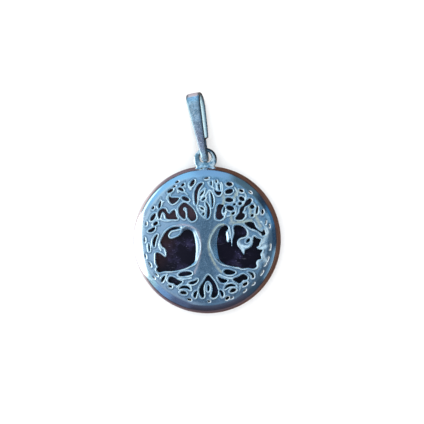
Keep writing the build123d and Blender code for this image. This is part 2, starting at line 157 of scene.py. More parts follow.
# The large gaps: smooth closed outlines through a few places, shares of the radius.
LARGE_GAPS = {
    "left_of_trunk": [
        (-0.352, 0.160), (-0.448, 0.162), (-0.540, 0.108), (-0.588, 0.028),
        (-0.616, -0.040), (-0.588, -0.096), (-0.550, -0.125), (-0.530, -0.200),
        (-0.556, -0.240), (-0.618, -0.198), (-0.672, -0.184), (-0.680, -0.245),
        (-0.674, -0.318), (-0.652, -0.366), (-0.670, -0.405), (-0.640, -0.438),
        (-0.560, -0.424), (-0.440, -0.420), (-0.300, -0.388), (-0.212, -0.344),
        (-0.158, -0.296), (-0.142, -0.200), (-0.140, -0.100), (-0.156, 0.020),
        (-0.184, 0.102), (-0.248, 0.134), (-0.308, 0.112), (-0.352, 0.056),
        (-0.408, 0.024), (-0.482, 0.006), (-0.520, 0.050), (-0.480, 0.116),
        (-0.408, 0.138),
    ],
    "right_of_trunk": [
        (0.252, 0.188), (0.192, 0.152), (0.156, 0.068), (0.140, -0.040),
        (0.152, -0.172), (0.172, -0.260), (0.232, -0.324), (0.360, -0.360),
        (0.440, -0.372), (0.480, -0.388), (0.560, -0.380), (0.628, -0.388),
        (0.672, -0.364), (0.664, -0.310), (0.690, -0.272), (0.734, -0.258),
        (0.724, -0.195), (0.750, -0.142), (0.700, -0.136), (0.670, -0.106),
        (0.704, -0.080), (0.712, -0.045), (0.730, -0.006), (0.680, 0.012),
        (0.640, 0.034), (0.629, -0.010), (0.616, -0.080), (0.564, -0.124),
        (0.522, -0.145), (0.504, -0.204), (0.460, -0.144), (0.414, -0.084),
        (0.412, -0.020), (0.456, 0.024), (0.520, 0.042), (0.542, 0.092),
        (0.506, 0.154), (0.440, 0.184), (0.374, 0.172), (0.378, 0.080),
        (0.356, 0.000), (0.341, -0.102), (0.322, 0.002), (0.300, -0.042),
        (0.277, -0.020), (0.270, 0.036), (0.264, 0.096), (0.290, 0.150),
    ],
    "left_wing": [
        (-0.500, 0.576), (-0.470, 0.557), (-0.420, 0.558), (-0.374, 0.556),
        (-0.395, 0.520), (-0.455, 0.482), (-0.494, 0.515),
    ],
    "left_arch": [
        (-0.632, 0.280), (-0.652, 0.340), (-0.624, 0.398), (-0.560, 0.410),
        (-0.524, 0.360), (-0.496, 0.340), (-0.456, 0.380), (-0.426, 0.388),
        (-0.408, 0.310), (-0.390, 0.276), (-0.460, 0.274), (-0.532, 0.282),
        (-0.554, 0.338), (-0.590, 0.376), (-0.614, 0.340),
    ],
    "left_ear": [
        (-0.372, 0.420), (-0.310, 0.488), (-0.255, 0.472), (-0.190, 0.415),
        (-0.150, 0.350), (-0.142, 0.280), (-0.198, 0.250), (-0.246, 0.300),
        (-0.252, 0.362), (-0.262, 0.422), (-0.300, 0.436), (-0.318, 0.400),
        (-0.286, 0.360), (-0.284, 0.290), (-0.310, 0.282), (-0.362, 0.340),
    ],
    "long_crescent": [
        (-0.060, 0.758), (-0.110, 0.735), (-0.150, 0.660), (-0.160, 0.590),
        (-0.154, 0.510), (-0.140, 0.466), (-0.126, 0.500), (-0.124, 0.600),
        (-0.104, 0.676), (-0.058, 0.738),
    ],
    "centre_crescent": [
        (-0.004, 0.500), (0.032, 0.448), (0.046, 0.370), (0.032, 0.304),
        (0.010, 0.286), (0.010, 0.350), (0.014, 0.420), (-0.002, 0.470),
    ],
    "centre_cup": [
        (0.110, 0.670), (0.134, 0.646), (0.160, 0.641), (0.198, 0.640),
        (0.180, 0.600), (0.148, 0.598), (0.120, 0.632),
    ],
    "right_hook": [
        (0.150, 0.450), (0.186, 0.470), (0.232, 0.458), (0.210, 0.420),
        (0.197, 0.370), (0.214, 0.322), (0.234, 0.300), (0.190, 0.272),
        (0.142, 0.278), (0.128, 0.320), (0.136, 0.380),
    ],
    "right_branch": [
        (0.580, 0.548), (0.612, 0.530), (0.580, 0.476), (0.518, 0.442),
        (0.498, 0.395), (0.480, 0.360), (0.516, 0.325), (0.476, 0.270),
        (0.402, 0.270), (0.404, 0.304), (0.444, 0.354), (0.458, 0.416),
        (0.500, 0.462), (0.536, 0.516),
    ],
    "right_wave": [
        (0.520, 0.216), (0.570, 0.232), (0.628, 0.224), (0.662, 0.164),
        (0.712, 0.116), (0.748, 0.104), (0.772, 0.132), (0.794, 0.078),
        (0.758, 0.052), (0.716, 0.098), (0.660, 0.130), (0.592, 0.154),
    ],
    "root_left_wing": [
        (-0.514, -0.545), (-0.490, -0.508), (-0.440, -0.512), (-0.375, -0.552),
        (-0.326, -0.566), (-0.362, -0.594), (-0.404, -0.616), (-0.442, -0.588),
        (-0.496, -0.576),
    ],
    "root_right_wing": [
        (0.362, -0.534), (0.430, -0.502), (0.495, -0.470), (0.550, -0.506),
        (0.534, -0.540), (0.492, -0.544), (0.450, -0.584), (0.410, -0.572),
    ],
    "root_right_slit": [
        (0.566, -0.438), (0.622, -0.454), (0.644, -0.500), (0.620, -0.524),
        (0.606, -0.482), (0.582, -0.456),
    ],
    "root_right_slot": [
        (0.236, -0.432), (0.262, -0.409), (0.320, -0.413), (0.386, -0.440),
        (0.350, -0.466), (0.275, -0.466),
    ],
    "root_left_fin": [
        (-0.232, -0.587), (-0.200, -0.570), (-0.155, -0.558), (-0.122, -0.534),
        (-0.127, -0.565), (-0.160, -0.590), (-0.205, -0.600),
    ],
    "root_right_fin": [
        (0.156, -0.502), (0.215, -0.528), (0.278, -0.546), (0.240, -0.580),
        (0.185, -0.566),
    ],
    "root_heart": [
        (0.018, -0.484), (-0.024, -0.548), (-0.078, -0.628), (-0.096, -0.700),
        (-0.066, -0.774), (-0.036, -0.770), (-0.036, -0.720), (-0.042, -0.650),
        (-0.018, -0.576), (0.020, -0.552), (0.062, -0.584), (0.084, -0.650),
        (0.074, -0.725), (0.064, -0.768), (0.100, -0.784), (0.142, -0.748),
        (0.152, -0.690), (0.118, -0.590), (0.056, -0.508),
    ],
}

# The edge of every gap is rounded over, and near the trunk that round is much wider. The
# width, the places and the extra width are shares of the radius.
Spread = namedtuple("Spread", "across up reach_across reach_up extra")
edge_width = 0.0145
EDGE_SPREADS = [
    Spread(-0.145, -0.080, 0.085, 0.200, 0.055),
    Spread(0.145, -0.060, 0.100, 0.210, 0.075),
    Spread(-0.250, 0.135, 0.100, 0.050, 0.030),
]

# How deep the rounded edges drop, and the raised lip that runs beside them. The lips end
# at a share of the radius, and are broader past another, at the tree's right side.
edge_drop = 0.08
edge_slope = 0.27
lip_height = 0.085
lip_width = 0.115
lip_end = 0.80
lip_fade = 0.03
lip_broader = 0.5
broader_from = 0.45
broader_fade = 0.25
line_clear = 0.15
field_sink = 0.075
waver = 0.012
waver_length = 1.7

# Spacing of the points of the meshes.
outline_step = 0.085
ridge_step = 0.06
ridge_half = 0.05
clearance = 0.06
row_slack = 0.012
close_step = 0.036
fill_step = 0.13
fill_share = 0.62
fill_clear = 0.08
under_step = 0.5
under_clear = 0.2
join_radius = 11.6
turns = 432

# Painted highlights along the edges, and painted shade beside them. The highlight is painted strongest at
# the lower right of each gap, whose edge faces the light.
highlight_share = 0.85
lit_edge_direction = (0.77, -0.64)
unlit_side_dim = 0.5
face_highlight = 0.9
face_clear = 0.1
shade_away = 0.19
shade_reach = 0.09


def surface_height(radius, inset=0.0):
    """Height of the dome and shoulder at each radius, moved inward by inset."""
    dome = dome_radius - inset
    round_over = shoulder_radius - inset
    on_dome = dome_centre + np.sqrt(dome ** 2 - np.minimum(radius, dome) ** 2)
    past = np.clip(radius - shoulder_centre, 0.0, round_over)
    on_shoulder = shoulder_height + np.sqrt(round_over ** 2 - past ** 2)
    return np.where(radius <= dome * dome_share, on_dome, on_shoulder)


def oval_loop(gap):
    """Outline of a small gap, counter-clockwise."""
    angle = np.linspace(0, 2 * np.pi, 64, endpoint=False)
    along = gap.length / 2 * np.cos(angle)
    aside = gap.width / 2 * np.sin(angle) + gap.length * gap.bow * np.sin(angle) ** 2
    turn = math.radians(gap.turn)
    across = gap.across + along * math.cos(turn) - aside * math.sin(turn)
    up = gap.up + along * math.sin(turn) + aside * math.cos(turn)
    return disc_radius * np.stack([across, up], 1)


def smooth_line(places, closed, steps=16):
    """A smooth line through the places, in millimetres."""
    p = disc_radius * np.array(places, float)
    if closed:
        p = np.concatenate([p[-1:], p, p[:2]])
    else:
        p = np.concatenate([2 * p[:1] - p[1:2], p, 2 * p[-1:] - p[-2:-1]])
    t = np.linspace(0, 1, steps, endpoint=False)[:, None]
    spans = []
    for i in range(1, len(p) - 2):
        before, start, stop, after = p[i - 1], p[i], p[i + 1], p[i + 2]
        spans.append(
            (2 * t ** 2 - t - t ** 3) / 2 * before
            + (2 - 5 * t ** 2 + 3 * t ** 3) / 2 * start
            + (t + 4 * t ** 2 - 3 * t ** 3) / 2 * stop
            + (t ** 3 - t ** 2) / 2 * after
        )
    if not closed:
        spans.append(p[-2:-1])
    return np.concatenate(spans)


def spaced(line, step, closed):
    """The same line with its points an even step apart."""
    path = np.concatenate([line, line[:1]]) if closed else line
    run = np.concatenate([[0.0], np.cumsum(np.linalg.norm(np.diff(path, axis=0), axis=1))])
    count = max(int(round(run[-1] / step)), 8 if closed else 2)
    at = np.linspace(0, run[-1], count, endpoint=not closed)
    return np.stack([np.interp(at, run, path[:, k]) for k in (0, 1)], 1)


def counter_clockwise(loop):
    """The loop with its inside on its left."""
    after = np.roll(loop, -1, axis=0)
    area = np.sum(loop[:, 0] * after[:, 1] - after[:, 0] * loop[:, 1])
    return loop if area > 0 else loop[::-1]


def gap_loops():
    """Every gap's outline, evenly spaced."""
    lines = [oval_loop(gap) for gap in SMALL_GAPS]
    lines += [smooth_line(places, True) for places in LARGE_GAPS.values()]
    return [counter_clockwise(spaced(line, outline_step, True)) for line in lines]


def edge_widths(points):
    """Width of the rounded edge at each point of an outline."""
    across, up = points[:, 0] / disc_radius, points[:, 1] / disc_radius
    width = np.full(len(points), edge_width)
    for s in EDGE_SPREADS:
        away = ((across - s.across) / s.reach_across) ** 2 + ((up - s.up) / s.reach_up) ** 2
        width += s.extra * np.exp(-away)
    return disc_radius * width


def tree_of(points):
    """A lookup of the nearest of these flat points."""
    tree = kdtree.KDTree(len(points))
    for i, (x, y) in enumerate(points):
        tree.insert((x, y, 0.0), i)
    tree.balance()
    return tree


def nearest(tree, places):
    """Which of the tree's points is nearest to each place, and how far away it is."""
    found = [tree.find((x, y, 0.0)) for x, y in places]
    return np.array([f[1] for f in found]), np.array([f[2] for f in found])


class Pierced:
    """The pierced plate: the outlines of its gaps, and how far any place is from them."""

    def __init__(self, loops):
        self.loops = loops
        self.points = np.concatenate(loops)
        self.first = np.cumsum([0] + [len(loop) for loop in loops])
        self.after = np.concatenate([np.roll(loop, -1, axis=0) for loop in loops])
        self.before = np.concatenate([np.roll(loop, 1, axis=0) for loop in loops])
        self.loop_of = np.concatenate([np.full(len(loop), i) for i, loop in enumerate(loops)])
        heading = self.after - self.before
        heading /= np.linalg.norm(heading, axis=1)[:, None]
        self.outward = np.stack([heading[:, 1], -heading[:, 0]], 1)
        self.width = edge_widths(self.points)
        self.tree = tree_of(self.points)

    def reach(self, places):
        """Distance to the nearest outline, and the width of the rounded edge there."""
        near = nearest(self.tree, places)[0]
        best = np.full(len(places), 1e9)
        for other in (self.before, self.after):
            start = self.points[near]
            side = other[near] - start
            t = np.sum((places - start) * side, 1) / np.sum(side * side, 1)
            foot = start + np.clip(t, 0, 1)[:, None] * side
            best = np.minimum(best, np.linalg.norm(places - foot, axis=1))
        return best, self.width[near]

    def lit_side(self, places):
        """1 at the lower right side of the nearest gap, which faces the light and gets the strongest
        painted highlight, 0 at its upper left side.
        """
        near = nearest(self.tree, places)[0]
        return 0.5 + 0.5 * self.outward[near] @ np.array(lit_edge_direction)


def thinned(candidates, kept, gap):
    """The candidates that are no nearer than gap to a kept point or to each other."""
    cells = {}

    def cell(p):
        return int(math.floor(p[0] / gap)), int(math.floor(p[1] / gap))

    def free(p):
        i, j = cell(p)
        for a in (i - 1, i, i + 1):
            for b in (j - 1, j, j + 1):
                for q in cells.get((a, b), ()):
                    if (p[0] - q[0]) ** 2 + (p[1] - q[1]) ** 2 < gap * gap:
                        return False
        return True

    for p in kept.tolist():
        cells.setdefault(cell(p), []).append(p)
    chosen = []
    for p in candidates.tolist():
        if free(p):
            cells.setdefault(cell(p), []).append(p)
            chosen.append(p)
    return np.array(chosen).reshape(-1, 2)


def hexagonal(step, radius):
    """Points of an even triangular pattern inside a circle."""
    rows = int(radius / (step * 0.866)) + 1
    columns = int(radius / step) + 1
    j, i = np.meshgrid(np.arange(-rows, rows + 1), np.arange(-columns, columns + 1))
    x = (i + 0.5 * (j % 2)) * step
    y = j * step * 0.866
    inside = np.hypot(x, y) < radius
    return np.stack([x[inside], y[inside]], 1)


def circle(radius, count):
    """Points of a circle, counter-clockwise."""
    angle = np.linspace(0, 2 * np.pi, count, endpoint=False)
    return radius * np.stack([np.cos(angle), np.sin(angle)], 1)


def inside_loop(places, loop):
    """True for each place inside the loop."""
    after = np.roll(loop, -1, axis=0)
    x, y = places[:, 0][:, None], places[:, 1][:, None]
    crosses = (loop[:, 1] > y) != (after[:, 1] > y)
    rise = after[:, 1] - loop[:, 1]
    rise = np.where(np.abs(rise) < 1e-12, 1e-12, rise)
    at = loop[:, 0] + (y - loop[:, 1]) / rise * (after[:, 0] - loop[:, 0])
    return np.sum(crosses & (x < at), 1) % 2 == 1


def outside_gaps(places, plate):
    """The places that aren't inside any of the gaps."""
    hidden = np.zeros(len(places), bool)
    for loop in plate.loops:
        asked = np.nonzero(np.all((places > loop.min(0)) & (places < loop.max(0)), 1))[0]
        if len(asked):
            hidden[asked[inside_loop(places[asked], loop)]] = True
    return places[~hidden]


def triangles(plate, rim, extra):
    """Triangles of the pierced disc over its outlines, its rim circle and the extra points."""
    points = np.concatenate([plate.points, rim, extra])
    edges = []
    for base, loop in zip(plate.first.tolist(), plate.loops + [rim]):
        edges += [(base + k, base + (k + 1) % len(loop)) for k in range(len(loop))]
    flat = [Vector(p) for p in points.tolist()]
    made = geometry.delaunay_2d_cdt(flat, edges, [], 0, 1e-7, True)
    source = np.array([min(origins) if origins else -1 for origins in made[3]])
    if len(made[0]) != len(points) or source.min() < 0:
        raise ValueError("two outlines of the tree cross each other")
    tri = source[np.array(made[2])]
    others = [np.full(len(rim), -1), np.full(len(extra), -2)]
    group = np.concatenate([plate.loop_of] + others)[tri]
    same = (group[:, 0] == group[:, 1]) & (group[:, 1] == group[:, 2]) & (group[:, 0] >= 0)
    keep = np.ones(len(tri), bool)
    middle = points[tri].mean(1)
    for i, loop in enumerate(plate.loops):
        asked = np.nonzero(same & (group[:, 0] == i))[0]
        if len(asked):
            keep[asked[inside_loop(middle[asked], loop)]] = False
    a, b, c = (points[tri[:, k]] for k in range(3))
    ab, ac = b - a, c - a
    turned = ab[:, 0] * ac[:, 1] - ac[:, 0] * ab[:, 1] < 0
    tri[turned] = tri[turned][:, ::-1]
    return points, tri[keep]


# Raised lines that lie in the metal between the gaps: leaf ribs, veins and outlines. Each
# passes through a few places, across and up, as shares of the radius.
RAISED_LINES = [
    [(-0.124, 0.500), (-0.128, 0.450), (-0.118, 0.405), (-0.096, 0.362)],
    [(0.045, 0.668), (0.070, 0.640), (0.086, 0.590), (0.095, 0.520), (0.094, 0.470), (0.078, 0.430)],
    [(0.045, 0.668), (0.015, 0.632), (-0.010, 0.585), (-0.014, 0.535), (0.000, 0.500), (0.030, 0.470),
     (0.050, 0.435)],
    [(-0.072, 0.645), (-0.040, 0.672), (-0.014, 0.690), (-0.022, 0.650), (-0.045, 0.612), (-0.080, 0.577)],
    [(-0.036, 0.590), (-0.062, 0.562), (-0.083, 0.530)],
    [(-0.100, 0.452), (-0.070, 0.445), (-0.042, 0.420), (-0.026, 0.390), (-0.022, 0.320)],
    [(-0.092, 0.355), (-0.070, 0.325), (-0.045, 0.300), (-0.016, 0.284)],
    [(-0.430, 0.697), (-0.460, 0.674), (-0.500, 0.640)],
    [(-0.478, 0.622), (-0.505, 0.606), (-0.530, 0.580), (-0.536, 0.550), (-0.515, 0.526)],
    [(-0.484, 0.604), (-0.494, 0.572)],
    [(-0.330, 0.658), (-0.290, 0.636), (-0.252, 0.598)],
    [(-0.386, 0.664), (-0.382, 0.632)],
    [(-0.615, 0.560), (-0.628, 0.520), (-0.645, 0.485)],
    [(-0.575, 0.512), (-0.600, 0.495), (-0.610, 0.455), (-0.628, 0.425)],
    [(-0.718, 0.465), (-0.704, 0.430)],
    [(-0.632, 0.288), (-0.600, 0.262), (-0.550, 0.250), (-0.500, 0.250), (-0.455, 0.262)],
    [(-0.682, 0.282), (-0.664, 0.250), (-0.650, 0.220), (-0.632, 0.192)],
    [(-0.294, 0.788), (-0.290, 0.745), (-0.280, 0.704)],
    [(-0.148, 0.808), (-0.168, 0.762), (-0.192, 0.715), (-0.218, 0.668)],
    [(-0.236, 0.772), (-0.243, 0.725), (-0.230, 0.690)],
    [(0.198, 0.765), (0.214, 0.725), (0.216, 0.670), (0.206, 0.620)],
    [(0.126, 0.758), (0.136, 0.705), (0.142, 0.668), (0.165, 0.664), (0.180, 0.690), (0.186, 0.720)],
    [(0.088, 0.802), (0.084, 0.760), (0.080, 0.712), (0.096, 0.690)],
    [(0.022, 0.768), (0.036, 0.735), (0.056, 0.714), (0.076, 0.702)],
    [(-0.022, 0.806), (0.010, 0.804), (0.036, 0.812)],
    [(0.332, 0.548), (0.350, 0.567), (0.374, 0.562), (0.386, 0.532), (0.372, 0.508)],
    [(0.272, 0.372), (0.258, 0.345), (0.246, 0.312), (0.222, 0.288)],
    [(0.280, 0.312), (0.322, 0.318), (0.368, 0.325), (0.396, 0.370), (0.400, 0.425), (0.376, 0.440)],
    [(0.380, 0.705), (0.398, 0.670), (0.420, 0.625), (0.415, 0.585)],
    [(0.505, 0.637), (0.530, 0.600), (0.528, 0.550), (0.512, 0.505), (0.490, 0.450)],
    [(0.590, 0.500), (0.630, 0.492), (0.656, 0.455), (0.656, 0.400), (0.648, 0.350), (0.628, 0.300)],
    [(0.590, 0.420), (0.588, 0.385), (0.575, 0.345)],
    [(0.500, 0.358), (0.530, 0.362), (0.538, 0.330), (0.530, 0.296)],
    [(0.696, 0.468), (0.708, 0.425), (0.700, 0.375)],
    [(0.772, 0.420), (0.778, 0.385), (0.782, 0.358)],
    [(0.735, 0.238), (0.762, 0.205), (0.788, 0.160), (0.808, 0.110), (0.806, 0.060)],
    [(-0.398, -0.645), (-0.362, -0.610), (-0.300, -0.618), (-0.240, -0.606), (-0.206, -0.640),
     (-0.212, -0.690)],
    [(0.246, -0.602), (0.300, -0.590), (0.355, -0.584), (0.400, -0.604), (0.425, -0.648)],
    [(0.455, -0.620), (0.452, -0.665), (0.430, -0.715), (0.395, -0.750)],
    [(-0.528, -0.466), (-0.540, -0.495)],
    [(-0.395, -0.525), (-0.330, -0.530), (-0.262, -0.530), (-0.200, -0.515)],
    [(0.175, -0.470), (0.240, -0.500), (0.300, -0.520), (0.345, -0.522)],
    [(-0.612, -0.150), (-0.634, -0.100), (-0.640, -0.050)],
    [(0.605, -0.020), (0.600, -0.065), (0.560, -0.100), (0.520, -0.105), (0.486, -0.080)],
    [(0.312, 0.130), (0.322, 0.080), (0.328, 0.030)],
]


# Strokes where a pale cream residue is left in the metal's recesses, with its half width as
# a share of the radius.
RESIDUE = [
    (0.016, [(0.230, 0.200), (0.160, 0.190), (0.095, 0.113), (0.048, 0.018), (0.030, -0.078),
             (0.048, -0.187), (0.095, -0.296), (0.148, -0.377), (0.201, -0.439)]),
    (0.014, [(-0.400, 0.185), (-0.300, 0.196), (-0.212, 0.174), (-0.125, 0.120), (-0.088, 0.018),
             (-0.079, -0.105), (-0.092, -0.241), (-0.125, -0.350), (-0.159, -0.459)]),
    (0.024, [(0.330, 0.222), (0.400, 0.228), (0.470, 0.235), (0.540, 0.245), (0.600, 0.255)]),
    (0.018, [(0.350, 0.210), (0.335, 0.280), (0.340, 0.340)]),
    (0.022, [(0.210, 0.450), (0.235, 0.520), (0.225, 0.590)]),
    (0.020, [(0.375, 0.560), (0.400, 0.610), (0.420, 0.650)]),
    (0.018, [(0.575, 0.440), (0.590, 0.390), (0.590, 0.330)]),
    (0.024, [(0.655, 0.340), (0.690, 0.250), (0.725, 0.170)]),
]


# Painted highlights on leaf faces and edges, drawn the same way.
BRIGHT_FACES = [
    (0.020, [(0.432, -0.020), (0.436, -0.055), (0.456, -0.085)]),
    (0.026, [(0.470, -0.088), (0.484, -0.130), (0.503, -0.175)]),
    (0.013, [(0.507, -0.092), (0.564, -0.078), (0.600, -0.020)]),
    (0.017, [(0.480, 0.180), (0.530, 0.140), (0.556, 0.090), (0.548, 0.040)]),
    (0.014, [(0.655, 0.205), (0.690, 0.160), (0.735, 0.130)]),
    (0.016, [(0.790, 0.180), (0.822, 0.110), (0.808, 0.055)]),
    (0.030, [(0.680, -0.122), (0.735, -0.120), (0.790, -0.095)]),
    (0.028, [(0.735, -0.050), (0.765, -0.020), (0.790, 0.030)]),
    (0.034, [(0.742, -0.185), (0.756, -0.250), (0.793, -0.295)]),
    (0.036, [(0.678, -0.345), (0.684, -0.305), (0.716, -0.280)]),
    (0.012, [(0.285, -0.035), (0.280, 0.010), (0.276, 0.060)]),
]


def stroke_share(strokes, places):
    """How much of a set of strokes covers each place, from 0 to 1."""
    share = np.zeros(len(places))
    for half, line in strokes:
        away = nearest(tree_of(spaced(smooth_line(line, False), 0.1, False)), places)[1]
        share = np.maximum(share, np.exp(-(away / (half * disc_radius)) ** 2))
    return share


def wavering(places):
    """A slight unevenness of the cast surface, from -1 to 0, at places in millimetres."""
    return np.array([noise.noise(Vector(p) / waver_length) / 2 - 0.5 for p in places])


def within_rim(radius):
    """1 inside the rim, falling to 0 across its inner border, where the lips end."""
    return 1 - np.clip((radius / disc_radius - lip_end) / lip_fade, 0, 1)


def lip_reach(places):
    """Half width of the lips at each place. They are broader at the tree's right side."""
    right = np.clip((places[:, 0] / disc_radius - broader_from) / broader_fade, 0, 1)
    return lip_width * (1 + lip_broader * right)


def plate_height(plate, lines, places):
    """Height of the pierced front at each place, with its rounded edges and raised lines."""
    radius = np.hypot(places[:, 0], places[:, 1])
    past = np.clip(radius - shoulder_centre, 0.0, shoulder_radius)
    height = surface_height(radius) - field_sink * (1 - (past / shoulder_radius) ** 2)
    away, width = plate.reach(places)
    share = np.clip(1 - away / width, 0, 1)
    height -= (edge_drop + edge_slope * width) * share ** 2
    near = nearest(lines, places)[1]
    reach = lip_reach(places)
    at_lip = np.exp(-((away - width) / reach) ** 2)
    on_line = np.exp(-(near / reach) ** 2) * np.clip(away / line_clear, 0, 1)
    height += lip_height * np.maximum(at_lip, on_line) * within_rim(radius)
    flat = np.column_stack([places, np.full(len(places), shoulder_height)])
    return height + waver * wavering(flat)


def lathe_rings(profile, count):
    """Rings of points for a profile of (radius, height) pairs."""
    unit = circle(1.0, count)
    return [np.column_stack([unit * radius, np.full(count, height)]) for radius, height in profile]


def ring_faces(first, second, count):
    """Quads between two rings of the same count that start at these indices."""
    around = [(k, (k + 1) % count) for k in range(count)]
    return [(first + k, first + m, second + m, second + k) for k, m in around]


def linked(name, data):
    """A new object of the scene that holds this data."""
    made = bpy.data.objects.new(name, data)
    bpy.context.scene.collection.objects.link(made)
    return made


def mesh_piece(name, points, faces, sharp=None):
    """A mesh object from points in millimetres."""
    mesh = bpy.data.meshes.new(name)
    mesh.from_pydata((np.array(points) * MM).tolist(), [], faces)
    mesh.validate()
    mesh.shade_smooth()
    if sharp is not None:
        mesh.set_sharp_from_angle(angle=math.radians(sharp))
    return linked(name, mesh)


def vertex_attribute(made, name, values):
    """Stores one number a vertex for the material to read, and 0 past the last value."""
    padded = np.zeros(len(made.data.vertices), np.float32)
    padded[:len(values)] = values
    layer = made.data.attributes.new(name, "FLOAT", "POINT")
    layer.data.foreach_set("value", padded)


def arc_rows(centre, level, radius, start, stop, count):
    """Points of a profile along an arc. Its angles are in degrees from straight up."""
    leans = np.radians(np.linspace(start, stop, count))
    return [(centre + radius * math.sin(a), level + radius * math.cos(a)) for a in leans]


def outer_profile():
    """The front's outside: over the shoulder, down the wall, round the back and up the pocket."""
    start = math.degrees(math.asin((join_radius - shoulder_centre) / shoulder_radius))
    rows = []
    for radius, height in arc_rows(shoulder_centre, shoulder_height, shoulder_radius, start, 90, 16)[1:]:
        sink = field_sink * ((height - shoulder_height) / shoulder_radius) ** 2
        rows.append((radius, height - sink))
    for height in (1.45, 0.9, back_edge_round):
        rows.append((disc_radius, height))
    corner = disc_radius - back_edge_round
    rows += arc_rows(corner, back_edge_round, back_edge_round, 90, 180, 7)[1:]
    rows += [(11.75, 0.0), (pocket_radius + clearance, 0.0), (pocket_radius, clearance)]
    rows += [(pocket_radius, 1.0), (pocket_radius, shoulder_height)]
    return rows


# Rows of points round each gap, the most needed first: a share of the rounded edge's width
# and a distance past it.
OFFSET_ROWS = [
    (1.0, 0.0), (1.0, -0.085), (1.0, -0.042), (1.0, 0.045),
    (0.24, 0.0), (0.48, 0.0), (1.0, 0.10), (1.0, 0.17),
]


def line_normals(line):
    """Unit normals along an open line."""
    heading = np.gradient(line, axis=0)
    heading /= np.linalg.norm(heading, axis=1)[:, None]
    return np.stack([heading[:, 1], -heading[:, 0]], 1)


def ridge_points(strokes, plate):
    """Points along the raised lines and at both sides of them, clear of the gaps' edges."""
    points = []
    for stroke in strokes:
        aside = ridge_half * line_normals(stroke)
        points += [stroke, stroke - aside, stroke + aside]
    points = np.concatenate(points)
    return points[plate.reach(points)[0] > clearance]


def edge_rows(plate):
    """Points in rows round each gap, left out where another gap is nearer."""
    offsets = []
    wanted = []
    for share, past in OFFSET_ROWS:
        away = plate.width * share + past
        offsets.append(plate.points + plate.outward * away[:, None])
        wanted.append(away)
    offsets = np.concatenate(offsets)
    reach = plate.reach(offsets)[0]
    inner = np.hypot(offsets[:, 0], offsets[:, 1]) < join_radius - clearance
    return offsets[(reach > np.concatenate(wanted) - row_slack) & inner]


def top_side(plate, strokes):
    """Flat points and triangles of the pierced top, finest beside its edges and lines."""
    rim = circle(join_radius, turns)
    edge = np.concatenate([plate.points, rim])
    close = np.concatenate([ridge_points(strokes, plate), edge_rows(plate)])
    close = thinned(outside_gaps(close, plate), edge, close_step)
    fill = outside_gaps(hexagonal(fill_step, join_radius - fill_clear), plate)
    fill = thinned(fill, np.concatenate([edge, close]), fill_step * fill_share)
    return triangles(plate, rim, np.concatenate([close, fill]))


def under_side(plate):
    """Points and triangles of the underside, which faces the stone."""
    radius = pocket_radius - 0.03
    rim = circle(radius, turns)
    coarse = outside_gaps(hexagonal(under_step, radius - under_clear), plate)
    coarse = thinned(coarse, np.concatenate([plate.points, rim]), under_clear)
    flat, faces = triangles(plate, rim, coarse)
    height = surface_height(np.hypot(flat[:, 0], flat[:, 1]), wall)
    return np.column_stack([flat, height]), faces[:, ::-1]


def gap_walls(plate, base):
    """Quads down through every gap, to the underside's points, which start at base."""
    faces = []
    for first, loop in zip(plate.first.tolist(), plate.loops):
        for k in range(len(loop)):
            a = first + k
            b = first + (k + 1) % len(loop)
            faces.append((a, b, base + b, base + a))
    return faces


def paint_front(made, plate, lines, flat):
    """Stores the painted highlights, where the top slopes, the painted shade beside its edges and lines,
    and where it is stained, for its material.
    """
    away, width = plate.reach(flat)
    near = nearest(lines, flat)[1]
    highlight_reach = highlight_share * lip_reach(flat)
    side = plate.lit_side(flat)
    # Painted highlight: the edges and lips are lightened, less on the side of each gap away from the
    # light.
    at_edge = np.exp(-((away - width) / highlight_reach) ** 2) * (1 - unlit_side_dim * (1 - side))
    polish_and_highlight = np.maximum(at_edge, np.exp(-(near / highlight_reach) ** 2))
    polish_and_highlight *= within_rim(np.hypot(flat[:, 0], flat[:, 1]))
    # More painted highlights, on chosen leaf faces and edges.
    bright = face_highlight * stroke_share(BRIGHT_FACES, flat) * np.clip(away / face_clear, 0, 1)
    polish_and_highlight = np.maximum(polish_and_highlight, bright)
    # Painted shade: a dark band in the field just past each edge and beside each raised line.
    beside_edge = np.exp(-((away - width - shade_away) / shade_reach) ** 2)
    beside_line = np.exp(-((near - shade_away) / shade_reach) ** 2)
    vertex_attribute(made, "polish_and_highlight", polish_and_highlight)
    vertex_attribute(made, "slope", np.clip(1 - away / width, 0, 1))
    vertex_attribute(made, "side", side)
    vertex_attribute(made, "painted_edge_shade", np.maximum(beside_edge, beside_line) * (1 - polish_and_highlight))
    vertex_attribute(made, "residue", stroke_share(RESIDUE, flat))


def front_piece():
    """The cast front: the pierced plate, its shoulder and wall, and the pocket behind it."""
    plate = Pierced(gap_loops())
    strokes = [spaced(smooth_line(line, False), ridge_step, False) for line in RAISED_LINES]
    lines = tree_of(np.concatenate(strokes))
    flat, top_faces = top_side(plate, strokes)
    under, under_faces = under_side(plate)
    base = len(flat)
    points = [np.column_stack([flat, plate_height(plate, lines, flat)]), under]
    faces = [tuple(f) for f in top_faces.tolist()]
    faces += [tuple(f) for f in (under_faces + base).tolist()]
    faces += gap_walls(plate, base)
    last = len(plate.points)
    total = base + len(under)
    for ring in lathe_rings(outer_profile(), turns):
        outside = ring[:, 2] > back_edge_round
        drawn = 1 + np.where(outside, waver, 0) * wavering(ring) / disc_radius
        points.append(ring * drawn[:, None])
        faces += ring_faces(total, last, turns)
        last = total
        total += turns
    faces += ring_faces(base + len(plate.points), last, turns)
    made = mesh_piece("silver_front", np.concatenate(points), faces, 42)
    paint_front(made, plate, lines, flat)
    return made


